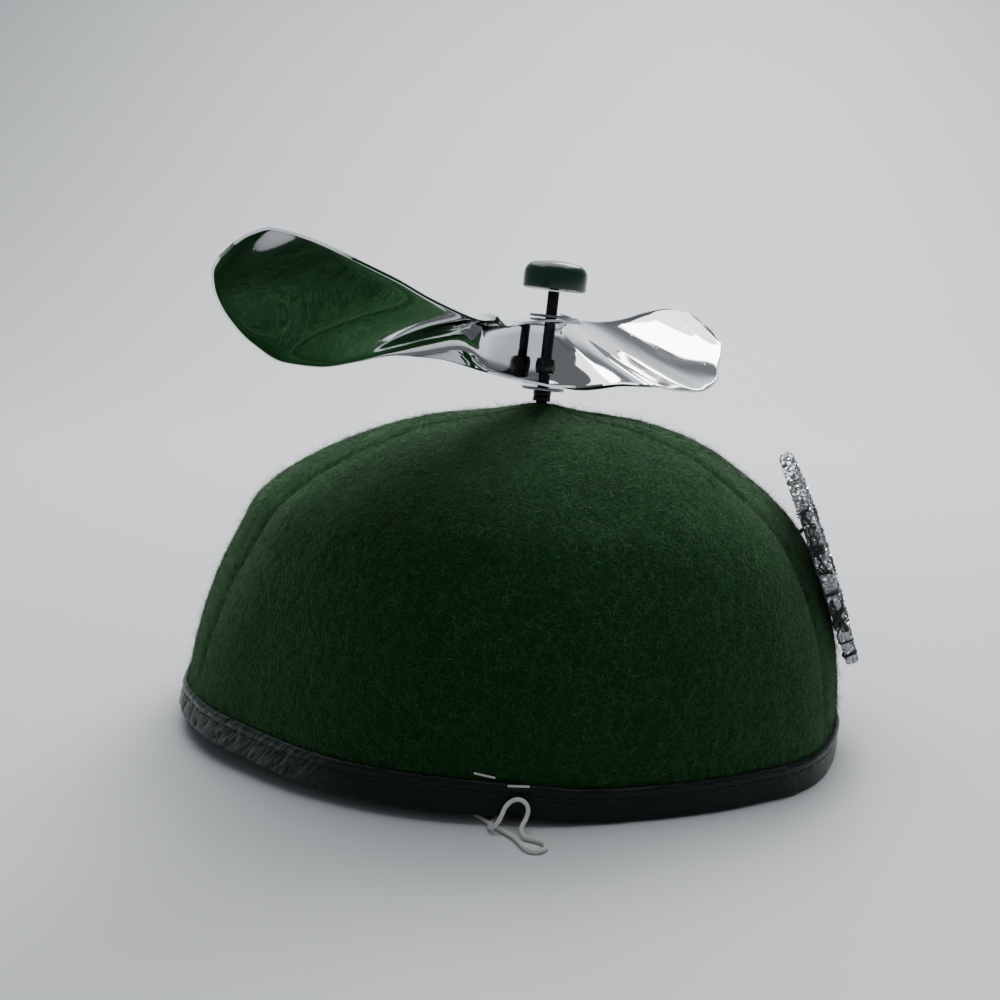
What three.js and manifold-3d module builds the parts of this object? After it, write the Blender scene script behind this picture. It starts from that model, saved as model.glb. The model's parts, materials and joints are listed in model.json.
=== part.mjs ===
// Propeller beanie: a felt skull cap of six gores with a bound rim, a post on
// its crown that carries a spinning sheet-metal propeller and a button, a badge
// on the front and an elastic chin cord.
// Millimetres, +Z up, +X towards the front of the cap.

import * as THREE from "three";
import { mergeVertices } from "three/addons/utils/BufferGeometryUtils.js";
import Module from "manifold-3d";

const wasm = await Module();
wasm.setup();

// Cap: outside sizes of the felt
const capHalfLength = 91.5;
const capHalfWidth = 83;
const capHeight = 87.5;
const feltThickness = 2.5;
const crownForward = 7;
const outlineSwell = 5;
const goreCount = 6;
const goreColumns = 10;
const goreRows = 14;
const seamDepth = 3.2;
const seamSpread = 8;
const rimLift = 5;

// Clearance between pieces that touch
const touchGap = 0.3;

// Bound rim
const bindingThickness = 0.8;
const bindingHeight = 8;
const puckerDepth = 0.3;
const puckerPitch = 4;
const puckersStart = 112;
const puckersFull = 128;

// Post, measured along its own leaning axis from the crown
const postRadius = 1.6;
const postHoleClearance = 0.7;
const leanForward = 4.5;
const leanSideways = 2;
const collarRadius = 2.5;
const collarHeight = 2.8;
const innerFlangeRadius = 5;
const innerFlangeThickness = 1;
const innerFlangeDrop = 1.4;
const washerRadius = 6;
const washerThickness = 0.8;
const beadRadius = 2.8;
const beadHeight = 4.2;
const beadStand = 3.2;
const buttonRadius = 8.8;
const buttonHeight = 8;
const buttonRound = 3.2;
const buttonEdge = 0.8;
const buttonCrown = 0.6;
const buttonStand = 6.8;

// Propeller, a single twisted strip
const bladeReach = 124.7;
const bladeHalfWidth = 24;
const sheetThickness = 0.6;
const hubHeight = 18;
const hubDepth = 11;
const axleClearance = 0.4;
const bladeAzimuth = 58.5;

// Badge on the front, and where its thread crosses, as a share of its radius up its face
const badgeRadius = 29.5;
const badgeThickness = 3;
const badgeBow = 1.2;
const badgeAzimuth = -9;
const badgeMidHeight = 48.5;
const badgeStand = 1.1;
const badgeTilt = 21.5;
const threadRadius = 0.8;
const threadPlace = 0.3;

// Chin cord
const cordDiameter = 1;

// Meridian of the felt from the rim (rise 0) to the post hole (rise 1).
// front, rear: share of the way from the post hole to the rim outline there
// height: share of capHeight; forward: share of crownForward
const meridian = [
  { rise: 0.00, front: 1.000, rear: 1.000, height: 0.000, forward: 0.00 },
  { rise: 0.10, front: 1.000, rear: 0.981, height: 0.130, forward: 0.03 },
  { rise: 0.22, front: 0.984, rear: 0.949, height: 0.289, forward: 0.08 },
  { rise: 0.35, front: 0.941, rear: 0.902, height: 0.454, forward: 0.15 },
  { rise: 0.46, front: 0.879, rear: 0.858, height: 0.573, forward: 0.30 },
  { rise: 0.56, front: 0.797, rear: 0.816, height: 0.675, forward: 0.46 },
  { rise: 0.67, front: 0.683, rear: 0.715, height: 0.771, forward: 0.55 },
  { rise: 0.78, front: 0.551, rear: 0.563, height: 0.858, forward: 0.62 },
  { rise: 0.89, front: 0.331, rear: 0.342, height: 0.937, forward: 0.76 },
  { rise: 0.95, front: 0.154, rear: 0.166, height: 0.964, forward: 0.88 },
  { rise: 1.00, front: 0.000, rear: 0.000, height: 1.000, forward: 1.00 },
];

// How far the rim swells out of a plain oval, as a share of outlineSwell, by the
// angle from the front, alike on both sides
const outline = [
  { angle: 0, swell: -0.36 },
  { angle: 20, swell: 0.42 },
  { angle: 35, swell: 0.94 },
  { angle: 50, swell: 0.34 },
  { angle: 70, swell: -0.20 },
  { angle: 90, swell: -0.10 },
  { angle: 110, swell: -0.14 },
  { angle: 130, swell: -0.10 },
  { angle: 150, swell: 0.54 },
  { angle: 165, swell: 0.08 },
  { angle: 180, swell: -0.03 },
];

// The seams between the gores: where each one runs, and its share of seamDepth
const seams = [
  { azimuth: -150, depth: 1.00 },
  { azimuth: -90, depth: 0.44 },
  { azimuth: -30, depth: 0.38 },
  { azimuth: 30, depth: 0.44 },
  { azimuth: 90, depth: 0.44 },
  { azimuth: 150, depth: 0.56 },
];

// Share of a seam's depth inside the binding, and the rise at which it starts to
// deepen and is at its full depth
const seamFade = { atRim: 0.4, starts: 0.12, full: 0.45 };

// How far the rim stands off the surface round the cap, as a share of rimLift
const rimRise = [
  { azimuth: -190, lift: 0.00 },
  { azimuth: -180, lift: 0.28 },
  { azimuth: -165, lift: 0.60 },
  { azimuth: -150, lift: 0.96 },
  { azimuth: -130, lift: 0.78 },
  { azimuth: -112, lift: 0.52 },
  { azimuth: -95, lift: 0.42 },
  { azimuth: -86, lift: 0.34 },
  { azimuth: -78, lift: 0.12 },
  { azimuth: -71, lift: 0.00 },
];

// The propeller strip, station by station. along: share of bladeReach from the
// post. The top and low edges of the strip: out, share of bladeHalfWidth to the
// open side of the hub; up, share of hubHeight above the lower washer.
// bow: share of hubDepth by which the strip bellies away from its chord
// square: how boxy the belly is, 2 round
const stations = [
  { along: -1.000, topOut: 0.35, topUp: 1.38, lowOut: 0.20, lowUp: 1.23, bow: 0.00, square: 2 },
  { along: -0.990, topOut: 0.46, topUp: 1.49, lowOut: 0.08, lowUp: 1.12, bow: 0.01, square: 2 },
  { along: -0.970, topOut: 0.58, topUp: 1.57, lowOut: -0.04, lowUp: 1.01, bow: 0.03, square: 2 },
  { along: -0.926, topOut: 0.77, topUp: 1.52, lowOut: -0.24, lowUp: 0.82, bow: 0.07, square: 2 },
  { along: -0.852, topOut: 0.87, topUp: 1.39, lowOut: -0.50, lowUp: 0.58, bow: 0.14, square: 2 },
  { along: -0.744, topOut: 0.90, topUp: 1.22, lowOut: -0.77, lowUp: 0.28, bow: 0.22, square: 2 },
  { along: -0.636, topOut: 0.83, topUp: 1.06, lowOut: -0.90, lowUp: 0.05, bow: 0.27, square: 2 },
  { along: -0.528, topOut: 0.71, topUp: 0.95, lowOut: -0.96, lowUp: 0.01, bow: 0.27, square: 2 },
  { along: -0.429, topOut: 0.56, topUp: 0.87, lowOut: -0.92, lowUp: 0.11, bow: 0.27, square: 2 },
  { along: -0.346, topOut: 0.44, topUp: 0.83, lowOut: -0.73, lowUp: 0.25, bow: 0.33, square: 2.3 },
  { along: -0.296, topOut: 0.38, topUp: 0.82, lowOut: -0.39, lowUp: 0.27, bow: 0.48, square: 2.8 },
  { along: -0.247, topOut: 0.31, topUp: 0.83, lowOut: -0.01, lowUp: 0.18, bow: 0.70, square: 3.5 },
  { along: -0.181, topOut: 0.23, topUp: 0.90, lowOut: 0.22, lowUp: 0.10, bow: 0.88, square: 5 },
  { along: -0.086, topOut: 0.25, topUp: 0.98, lowOut: 0.26, lowUp: 0.04, bow: 0.98, square: 7 },
  { along: -0.052, topOut: 0.27, topUp: 1.00, lowOut: 0.27, lowUp: 0.02, bow: 1.00, square: 8 },
  { along: 0.052, topOut: 0.27, topUp: 1.00, lowOut: 0.27, lowUp: 0.02, bow: 1.00, square: 8 },
  { along: 0.085, topOut: 0.13, topUp: 1.04, lowOut: 0.35, lowUp: 0.05, bow: 0.82, square: 5 },
  { along: 0.115, topOut: -0.12, topUp: 1.09, lowOut: 0.47, lowUp: 0.10, bow: 0.54, square: 3.3 },
  { along: 0.156, topOut: -0.38, topUp: 1.13, lowOut: 0.63, lowUp: 0.15, bow: 0.36, square: 2.4 },
  { along: 0.264, topOut: -0.66, topUp: 1.11, lowOut: 0.77, lowUp: 0.14, bow: 0.27, square: 2 },
  { along: 0.377, topOut: -0.84, topUp: 1.07, lowOut: 0.77, lowUp: 0.09, bow: 0.27, square: 2 },
  { along: 0.495, topOut: -0.98, topUp: 1.08, lowOut: 0.74, lowUp: 0.08, bow: 0.27, square: 2 },
  { along: 0.604, topOut: -1.05, topUp: 1.13, lowOut: 0.65, lowUp: 0.17, bow: 0.27, square: 2 },
  { along: 0.712, topOut: -1.07, topUp: 1.24, lowOut: 0.48, lowUp: 0.30, bow: 0.22, square: 2 },
  { along: 0.820, topOut: -1.03, topUp: 1.42, lowOut: 0.20, lowUp: 0.53, bow: 0.14, square: 2 },
  { along: 0.894, topOut: -0.90, topUp: 1.52, lowOut: 0.04, lowUp: 0.74, bow: 0.07, square: 2 },
  { along: 0.938, topOut: -0.70, topUp: 1.49, lowOut: -0.08, lowUp: 0.92, bow: 0.03, square: 2 },
  { along: 0.958, topOut: -0.57, topUp: 1.39, lowOut: -0.19, lowUp: 1.03, bow: 0.01, square: 2 },
  { along: 0.968, topOut: -0.45, topUp: 1.28, lowOut: -0.30, lowUp: 1.14, bow: 0.00, square: 2 },
];

// Handles that the chin cord's line is drawn towards, chosen by hand, from its sewn
// end on the far side, over the floor inside the cap, out under the rim, round and back
const cordHandles = [
  [0.2, 76.9, 6.4], [0.1, 77, 4.4], [0.5, 76, 1.7], [2.8, 72.8, 0.6], [8, 66.5, 0.6],
  [20, 54, 0.6], [32, 36, 0.6], [29, 13.5, 0.6], [13.3, -5.7, 0.6], [-4.2, -20.6, 0.6],
  [-14.4, -38, 0.6], [-13.3, -55.5, 0.6], [-9.6, -66, 0.6], [-5.6, -74.4, 0.6],
  [-2.4, -79.4, 0.6], [0.6, -82.9, 0.6], [3.6, -86, 0.6], [6, -88.5, 0.6],
  [8, -91.2, 0.6], [8.8, -93.7, 0.6], [10.9, -95.9, 0.6], [13.9, -95, 0.6],
  [14.3, -91.9, 0.6], [11.8, -90.2, 0.6], [9.1, -89.6, 0.4], [7.9, -87.7, 1.8],
  [9.5, -85.6, 3.2], [9.9, -84.3, 5.8], [7.3, -83.9, 7.5], [4.5, -84.5, 5.7],
  [3.9, -86.6, 3.9], [2.7, -87.6, 2], [1.3, -86.4, 0.6], [1, -83.9, 0.6],
  [2, -81.4, 0.6], [2.7, -79, 0.6], [3.3, -76.2, 0.9], [3.4, -75.1, 3.4], [3.4, -75, 6.2],
];

const turn = THREE.MathUtils.degToRad;

// A smooth curve through one column of a table, with no overshoot
function follow(rows, key, column) {
  const x = rows.map((row) => row[key]);
  const y = rows.map((row) => row[column]);
  const last = x.length - 1;
  const rate = x.slice(1).map((value, i) => (y[i + 1] - y[i]) / (value - x[i]));
  const slope = x.map((_, i) => {
    if (i === 0 || i === last) return rate[i === 0 ? 0 : last - 1];
    if (rate[i - 1] * rate[i] <= 0) return 0;
    return (2 * rate[i - 1] * rate[i]) / (rate[i - 1] + rate[i]);
  });
  return (at) => {
    const here = THREE.MathUtils.clamp(at, x[0], x[last]);
    let i = 0;
    while (i < last - 1 && here > x[i + 1]) i += 1;
    const span = x[i + 1] - x[i];
    const t = (here - x[i]) / span;
    const start = (1 + 2 * t) * (1 - t) ** 2 * y[i] + t * (1 - t) ** 2 * span * slope[i];
    const end = t * t * (3 - 2 * t) * y[i + 1] + t * t * (t - 1) * span * slope[i + 1];
    return start + end;
  };
}

function fromTriangles(points, triangles) {
  const geometry = new THREE.BufferGeometry().setFromPoints(points);
  geometry.setIndex(triangles.flat());
  return geometry;
}

// One closed body: shared corners merged, slivers dropped, faces turned out
function closed(geometry) {
  const bare = geometry.clone();
  bare.deleteAttribute("normal");
  bare.deleteAttribute("uv");
  const merged = mergeVertices(bare, 1e-5);
  const index = merged.index.array;
  const corner = (i) => new THREE.Vector3().fromBufferAttribute(merged.attributes.position, i);
  const kept = [];
  let volume = 0;
  for (let i = 0; i < index.length; i += 3) {
    const [a, b, c] = [index[i], index[i + 1], index[i + 2]];
    if (a === b || b === c || c === a) continue;
    kept.push([a, b, c]);
    volume += corner(a).dot(corner(b).cross(corner(c)));
  }
  const facing = volume > 0 ? kept : kept.map(([a, b, c]) => [a, c, b]);
  merged.setIndex(facing.flat());
  merged.computeVertexNormals();
  return merged;
}

// A sheet with a front and a back grid of points, closed round its four edges
function sheet(front, back) {
  const rows = front.length;
  const columns = front[0].length;
  const [end, right] = [rows - 1, columns - 1];
  const at = (side, i, j) => side * rows * columns + i * columns + j;
  const triangles = [];
  const quad = (a, b, c, d) => triangles.push([a, b, c], [a, c, d]);
  for (let i = 0; i < rows - 1; i += 1) {
    for (let j = 0; j < columns - 1; j += 1) {
      quad(at(0, i, j), at(0, i, j + 1), at(0, i + 1, j + 1), at(0, i + 1, j));
      quad(at(1, i, j), at(1, i + 1, j), at(1, i + 1, j + 1), at(1, i, j + 1));
    }
    quad(at(0, i, 0), at(0, i + 1, 0), at(1, i + 1, 0), at(1, i, 0));
    quad(at(0, i + 1, right), at(0, i, right), at(1, i, right), at(1, i + 1, right));
  }
  for (let j = 0; j < columns - 1; j += 1) {
    quad(at(0, 0, j + 1), at(0, 0, j), at(1, 0, j), at(1, 0, j + 1));
    quad(at(0, end, j), at(0, end, j + 1), at(1, end, j + 1), at(1, end, j));
  }
  return closed(fromTriangles([...front.flat(), ...back.flat()], triangles));
}

// A closed section carried round a closed ring
function ring(sections) {
  const count = sections[0].length;
  const triangles = [];
  sections.forEach((_, i) => {
    const next = (i + 1) % sections.length;
    for (let k = 0; k < count; k += 1) {
      const after = (k + 1) % count;
      const [a, b] = [i * count + k, next * count + k];
      const [c, d] = [next * count + after, i * count + after];
      triangles.push([a, b, c], [a, c, d]);
    }
  });
  return closed(fromTriangles(sections.flat(), triangles));
}

// A turned piece about +Z from a profile of [radius, height]
function turned(profile, sides) {
  const geometry = new THREE.LatheGeometry(profile.map(([r, z]) => new THREE.Vector2(r, z)), sides);
  return closed(geometry.rotateX(Math.PI / 2));
}

function tube(path, radius, steps, curveSegments) {
  const round = new THREE.Shape().absarc(0, 0, radius, 0, 2 * Math.PI, false);
  const options = { steps, curveSegments, bevelEnabled: false, extrudePath: path };
  return closed(new THREE.ExtrudeGeometry(round, options));
}

function solidOf(geometry) {
  const vertProperties = new Float32Array(geometry.attributes.position.array);
  const triVerts = new Uint32Array(geometry.index.array);
  return new wasm.Manifold(new wasm.Mesh({ numProp: 3, vertProperties, triVerts }));
}

function geometryOf(solid) {
  const mesh = solid.getMesh();
  const geometry = new THREE.BufferGeometry();
  geometry.setAttribute("position", new THREE.BufferAttribute(mesh.vertProperties, 3));
  geometry.setIndex(new THREE.BufferAttribute(mesh.triVerts, 1));
  return closed(geometry);
}

function piece(name, geometry, material) {
  const mesh = new THREE.Mesh(geometry, material.clone());
  mesh.name = name;
  return mesh;
}

const felt = new THREE.MeshStandardMaterial({ color: 0x0f4a1c, roughness: 1, metalness: 0 });
const satin = new THREE.MeshStandardMaterial({ color: 0x17302c, roughness: 0.45, metalness: 0 });
const darkMetal = new THREE.MeshStandardMaterial({ color: 0x2a2b2c, roughness: 0.4, metalness: 0.8 });
const steel = new THREE.MeshStandardMaterial({ color: 0x8d9194, roughness: 0.3, metalness: 1 });
const mirror = new THREE.MeshStandardMaterial({ color: 0xe4e6e8, roughness: 0.05, metalness: 1 });
const greenPlastic = new THREE.MeshStandardMaterial({ color: 0x0c3b22, roughness: 0.35, metalness: 0 });
const silver = new THREE.MeshStandardMaterial({ color: 0xc4c6c8, roughness: 0.35, metalness: 0.9 });
const blackThread = new THREE.MeshStandardMaterial({ color: 0x111312, roughness: 0.9, metalness: 0 });
const whiteElastic = new THREE.MeshStandardMaterial({ color: 0xe8e8e4, roughness: 0.9, metalness: 0 });

// Felt surface

const postHoleRadius = postRadius + postHoleClearance;
const feltFoot = bindingThickness + touchGap;
const frontReachAt = follow(meridian, "rise", "front");
const rearReachAt = follow(meridian, "rise", "rear");
const heightAt = follow(meridian, "rise", "height");
const forwardAt = follow(meridian, "rise", "forward");
const rimRiseAt = follow(rimRise, "azimuth", "lift");
const swellAt = follow(outline, "angle", "swell");

// The turn from one azimuth to another, from -180 to 180 degrees
function turnBetween(from, to) {
  return ((to - from + 540) % 360) - 180;
}

function liftAt(azimuth) {
  const wrapped = azimuth > 90 ? azimuth - 360 : azimuth;
  return rimLift * rimRiseAt(wrapped);
}

// How far the seams draw the felt in at this azimuth: least inside the binding
function seamDent(azimuth, rise) {
  const deepening = THREE.MathUtils.smoothstep(rise, seamFade.starts, seamFade.full);
  const fade = THREE.MathUtils.lerp(seamFade.atRim, 1, deepening);
  return seams.reduce((sum, seam) => {
    const away = turnBetween(seam.azimuth, azimuth);
    return sum + seamDepth * seam.depth * fade * Math.exp(-((away / seamSpread) ** 2));
  }, 0);
}

function feltPoint(azimuth, rise) {
  const angle = turn(azimuth);
  const towardsFront = 0.5 + 0.5 * Math.cos(angle);
  const reach = THREE.MathUtils.lerp(rearReachAt(rise), frontReachAt(rise), towardsFront);
  const swell = outlineSwell * swellAt(Math.abs(turnBetween(0, azimuth))) * reach;
  const swollen = swell - seamDent(azimuth, rise) * Math.min(1, 2 * reach);
  const along = postHoleRadius + (capHalfLength - postHoleRadius) * reach + swollen;
  const across = postHoleRadius + (capHalfWidth - postHoleRadius) * reach + swollen;
  const height = feltFoot + (capHeight - feltFoot) * heightAt(rise);
  return new THREE.Vector3(
    along * Math.cos(angle) + crownForward * forwardAt(rise),
    across * Math.sin(angle),
    height + liftAt(azimuth) * (1 - rise) ** 2,
  );
}

// The felt's outward direction, level at the rim so that the foot stays flat
function feltNormal(azimuth, rise) {
  const riseStep = 0.01;
  const turnStep = 1;
  const low = feltPoint(azimuth, Math.max(0, rise - riseStep));
  const high = feltPoint(azimuth, Math.min(1, rise + riseStep));
  const before = feltPoint(azimuth - turnStep, rise);
  const after = feltPoint(azimuth + turnStep, rise);
  const normal = after.sub(before).cross(high.sub(low)).normalize();
  if (rise < riseStep) normal.setZ(0).normalize();
  return normal;
}

// The rise at which a measure of the felt, growing with the rise, passes zero
function riseWhere(measure) {
  const halvings = 40;
  let low = 0;
  let high = 1;
  for (let i = 0; i < halvings; i += 1) {
    const middle = (low + high) / 2;
    if (measure(middle) < 0) low = middle;
    else high = middle;
  }
  return low;
}

// The felt's outside at this azimuth, at this height above the surface
function feltAtHeight(azimuth, height) {
  return feltPoint(azimuth, riseWhere((rise) => feltPoint(azimuth, rise).z - height));
}

function gore(name, middle) {
  const halfSpan = 180 / goreCount;
  const front = [];
  const back = [];
  for (let i = 0; i <= goreRows; i += 1) {
    const rise = i / goreRows;
    const radius = postHoleRadius + (capHalfWidth - postHoleRadius) * rearReachAt(rise);
    const seamAllowance = THREE.MathUtils.radToDeg(touchGap / 2 / radius);
    const frontRow = [];
    const backRow = [];
    for (let j = 0; j <= goreColumns; j += 1) {
      const share = (2 * j) / goreColumns - 1;
      const azimuth = middle + share * (halfSpan - seamAllowance);
      const point = feltPoint(azimuth, rise);
      const inward = rise === 1 ? new THREE.Vector3(0, 0, 1) : feltNormal(azimuth, rise);
      frontRow.push(point);
      backRow.push(point.clone().addScaledVector(inward, -feltThickness));
    }
    front.push(frontRow);
    back.push(backRow);
  }
  return piece(name, sheet(front, back), felt);
}

function gores() {
  const names = ["front", "front_left", "rear_left", "rear", "rear_right", "front_right"];
  return names.map((place, i) => gore(`gore_${place}`, (i * 360) / goreCount));
}

// Binding: a folded strip round the rim that leans with the felt, flat underneath,
// puckered at the rear

function pucker(azimuth) {
  const inRear = THREE.MathUtils.smoothstep(-azimuth, puckersStart, puckersFull);
  const wrinkle = Math.sin((2 * Math.PI * azimuth) / puckerPitch);
  return puckerDepth * inRear * (0.5 + 0.5 * wrinkle);
}

function binding() {
  const count = goreCount * goreColumns;
  const outer = touchGap + bindingThickness;
  const inner = -feltThickness - touchGap;
  const sections = [];
  for (let i = 0; i < count; i += 1) {
    const azimuth = -180 + (360 * i) / count;
    const out = feltNormal(azimuth, 0);
    const low = liftAt(azimuth);
    const shape = [
      [outer, 0],
      [outer + pucker(azimuth), bindingHeight / 2],
      [outer, bindingHeight],
      [touchGap, bindingHeight],
      [touchGap, bindingThickness],
      [inner, bindingThickness],
      [inner, bindingHeight],
      [inner - bindingThickness, bindingHeight],
      [inner - bindingThickness, 0],
    ];
    sections.push(shape.map(([away, up]) => {
      const point = feltAtHeight(azimuth, low + up).addScaledVector(out, away);
      return point.setZ(low + up);
    }));
  }
  return piece("rim_binding", ring(sections), satin);
}

// Post and what it carries, in the post's own frame: Z up its axis

const collarFoot = touchGap + collarRadius * Math.sin(turn(leanForward));
const collarTop = collarFoot + collarHeight;
const lowerWasherFoot = collarTop + touchGap;
const hubFloor = lowerWasherFoot + washerThickness + touchGap + sheetThickness / 2;
const hubRoof = hubFloor + hubHeight;
const beadFoot = hubFloor + beadStand;
const upperWasherFoot = hubRoof + sheetThickness / 2 + touchGap;
const buttonFoot = upperWasherFoot + washerThickness + buttonStand;
const postTop = buttonFoot - touchGap;

function post() {
  const flangeTop = -feltThickness - innerFlangeDrop;
  const flangeFoot = flangeTop - innerFlangeThickness;
  const profile = [
    [0, flangeFoot], [innerFlangeRadius, flangeFoot], [innerFlangeRadius, flangeTop],
    [postRadius, flangeTop], [postRadius, collarFoot], [collarRadius, collarFoot],
    [collarRadius, collarTop], [postRadius, collarTop], [postRadius, postTop], [0, postTop],
  ];
  return piece("post", turned(profile, 24), darkMetal);
}

// A flat ring or bead that sits round the post with a small gap
function collarRing(name, foot, height, radius, material) {
  const bore = postRadius + touchGap;
  const top = foot + height;
  const profile = [[bore, foot], [radius, foot], [radius, top], [bore, top], [bore, foot]];
  return piece(name, turned(profile, 24), material);
}

function button() {
  const steps = 5;
  const shoulder = buttonFoot + buttonHeight - buttonCrown - buttonRound;
  const profile = [
    [0, buttonFoot], [buttonRadius - buttonEdge, buttonFoot],
    [buttonRadius, buttonFoot + buttonEdge],
  ];
  for (let i = 0; i <= steps; i += 1) {
    const angle = (Math.PI / 2) * (i / steps);
    const inset = buttonRound * (1 - Math.cos(angle));
    profile.push([buttonRadius - inset, shoulder + buttonRound * Math.sin(angle)]);
  }
  profile.push([0, buttonFoot + buttonHeight]);
  return piece("button", turned(profile, 32), greenPlastic);
}

// Propeller: a strip whose two edges follow the table of stations

const stationColumn = Object.fromEntries(
  ["topOut", "topUp", "lowOut", "lowUp", "bow", "square"].map(
    (column) => [column, follow(stations, "along", column)],
  ),
);

// across runs from 0 on the top edge to 1 on the low edge
function stripPoint(along, across) {
  const value = (column) => stationColumn[column](along);
  const edge = (out, up) => new THREE.Vector2(out * bladeHalfWidth, hubFloor + up * hubHeight);
  const top = edge(value("topOut"), value("topUp"));
  const low = edge(value("lowOut"), value("lowUp"));
  const chord = low.clone().sub(top);
  const length = chord.length() || 1;
  const power = 2 / value("square");
  const swing = Math.PI * across;
  const down = 0.5 - 0.5 * Math.sign(Math.cos(swing)) * Math.abs(Math.cos(swing)) ** power;
  const belly = value("bow") * hubDepth * Math.abs(Math.sin(swing)) ** power;
  const out = top.x + chord.x * down + (chord.y / length) * belly;
  const up = top.y + chord.y * down - (chord.x / length) * belly;
  return new THREE.Vector3(along * bladeReach, -out, up);
}

function stripNormal(along, across) {
  const step = 0.004;
  const [first, last] = [stations[0].along, stations.at(-1).along];
  const before = stripPoint(Math.max(first, along - step), across);
  const after = stripPoint(Math.min(last, along + step), across);
  const above = stripPoint(along, Math.max(0, across - step));
  const below = stripPoint(along, Math.min(1, across + step));
  return after.sub(before).cross(below.sub(above)).normalize();
}

function propeller() {
  const columns = 12;
  const perStation = 2;
  const front = [];
  const back = [];
  for (let i = 0; i <= (stations.length - 1) * perStation; i += 1) {
    const k = Math.floor(i / perStation);
    const next = Math.min(k + 1, stations.length - 1);
    const share = (i % perStation) / perStation;
    const along = THREE.MathUtils.lerp(stations[k].along, stations[next].along, share);
    const frontRow = [];
    const backRow = [];
    for (let j = 0; j <= columns; j += 1) {
      const point = stripPoint(along, j / columns);
      const normal = stripNormal(along, j / columns).multiplyScalar(sheetThickness / 2);
      frontRow.push(point.clone().add(normal));
      backRow.push(point.clone().sub(normal));
    }
    front.push(frontRow);
    back.push(backRow);
  }
  const strip = solidOf(sheet(front, back));
  const holeRadius = postRadius + axleClearance;
  const bore = [[0, 0], [holeRadius, 0], [holeRadius, postTop], [0, postTop]];
  const drill = solidOf(turned(bore, 20));
  const mesh = piece("propeller", geometryOf(strip.subtract(drill)), mirror);
  mesh.rotation.z = turn(bladeAzimuth);
  return mesh;
}

function crownAssembly() {
  const group = new THREE.Group();
  group.position.set(crownForward, 0, capHeight);
  const axis = new THREE.Vector3(Math.sin(turn(leanForward)), Math.sin(turn(leanSideways)), 1);
  group.quaternion.setFromUnitVectors(new THREE.Vector3(0, 0, 1), axis.normalize());
  group.add(
    post(),
    collarRing("lower_washer", lowerWasherFoot, washerThickness, washerRadius, steel),
    collarRing("hub_bead", beadFoot, beadHeight, beadRadius, darkMetal),
    collarRing("upper_washer", upperWasherFoot, washerThickness, washerRadius, steel),
    propeller(),
    button(),
  );
  return group;
}

// Badge: a round plate, bowed up and down, standing against the front gore

const badgeSeat = feltAtHeight(badgeAzimuth, badgeMidHeight);
const [badgeCos, badgeSin] = [Math.cos(turn(badgeAzimuth)), Math.sin(turn(badgeAzimuth))];
const badgeFacing = new THREE.Vector3(badgeCos, badgeSin, Math.tan(turn(badgeTilt))).normalize();
const badgeSideways = new THREE.Vector3(-badgeSin, badgeCos, 0);
const badgeUpwards = badgeFacing.clone().cross(badgeSideways);

// A point of the plate: side to side, up its face and out from its back
function badgePoint(side, up, out) {
  const away = badgeStand - badgeBow * (up / badgeRadius) ** 2 + out;
  return badgeSeat.clone()
    .addScaledVector(badgeFacing, away)
    .addScaledVector(badgeSideways, side)
    .addScaledVector(badgeUpwards, up);
}

function badge() {
  const sides = 32;
  const rings = 4;
  const front = [];
  const back = [];
  for (let i = 0; i <= sides; i += 1) {
    const angle = (2 * Math.PI * i) / sides;
    const frontRow = [];
    const backRow = [];
    for (let j = 0; j <= rings; j += 1) {
      const radius = (badgeRadius * j) / rings;
      const [side, up] = [radius * Math.cos(angle), radius * Math.sin(angle)];
      frontRow.push(badgePoint(side, up, badgeThickness));
      backRow.push(badgePoint(side, up, 0));
    }
    front.push(frontRow);
    back.push(backRow);
  }
  return piece("badge", disc(front, back), silver);
}

// A disc from two fans of rings: no cut along the first spoke
function disc(front, back) {
  const sides = front.length - 1;
  const rings = front[0].length - 1;
  const triangles = [];
  const points = [...front.slice(0, sides).flat(), ...back.slice(0, sides).flat()];
  const at = (side, i, j) => side * sides * (rings + 1) + (i % sides) * (rings + 1) + j;
  const quad = (a, b, c, d) => triangles.push([a, b, c], [a, c, d]);
  for (let i = 0; i < sides; i += 1) {
    for (let j = 0; j < rings; j += 1) {
      quad(at(0, i, j), at(0, i, j + 1), at(0, i + 1, j + 1), at(0, i + 1, j));
      quad(at(1, i, j), at(1, i + 1, j), at(1, i + 1, j + 1), at(1, i, j + 1));
    }
    quad(at(0, i, rings), at(1, i, rings), at(1, i + 1, rings), at(0, i + 1, rings));
  }
  return closed(fromTriangles(points, triangles));
}

// The thread that ties the badge on: it bridges from the felt, square to it, to the
// back of the plate
function badgeThread() {
  const step = 0.01;
  const onPlate = badgePoint(0, threadPlace * badgeRadius, 0);
  const rise = riseWhere((at) => {
    const here = feltPoint(badgeAzimuth, at);
    const uphill = feltPoint(badgeAzimuth, at + step).sub(here);
    return uphill.dot(here.sub(onPlate));
  });
  const onFelt = feltPoint(badgeAzimuth, rise);
  const direction = onPlate.clone().sub(onFelt).normalize();
  const lean = direction.angleTo(badgeFacing);
  const fromPlate = (touchGap + threadRadius * Math.sin(lean)) / Math.cos(lean);
  const path = new THREE.LineCurve3(
    onFelt.addScaledVector(direction, touchGap),
    onPlate.addScaledVector(direction, -fromPlate),
  );
  return piece("badge_thread", tube(path, threadRadius, 1, 4), blackThread);
}

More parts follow.
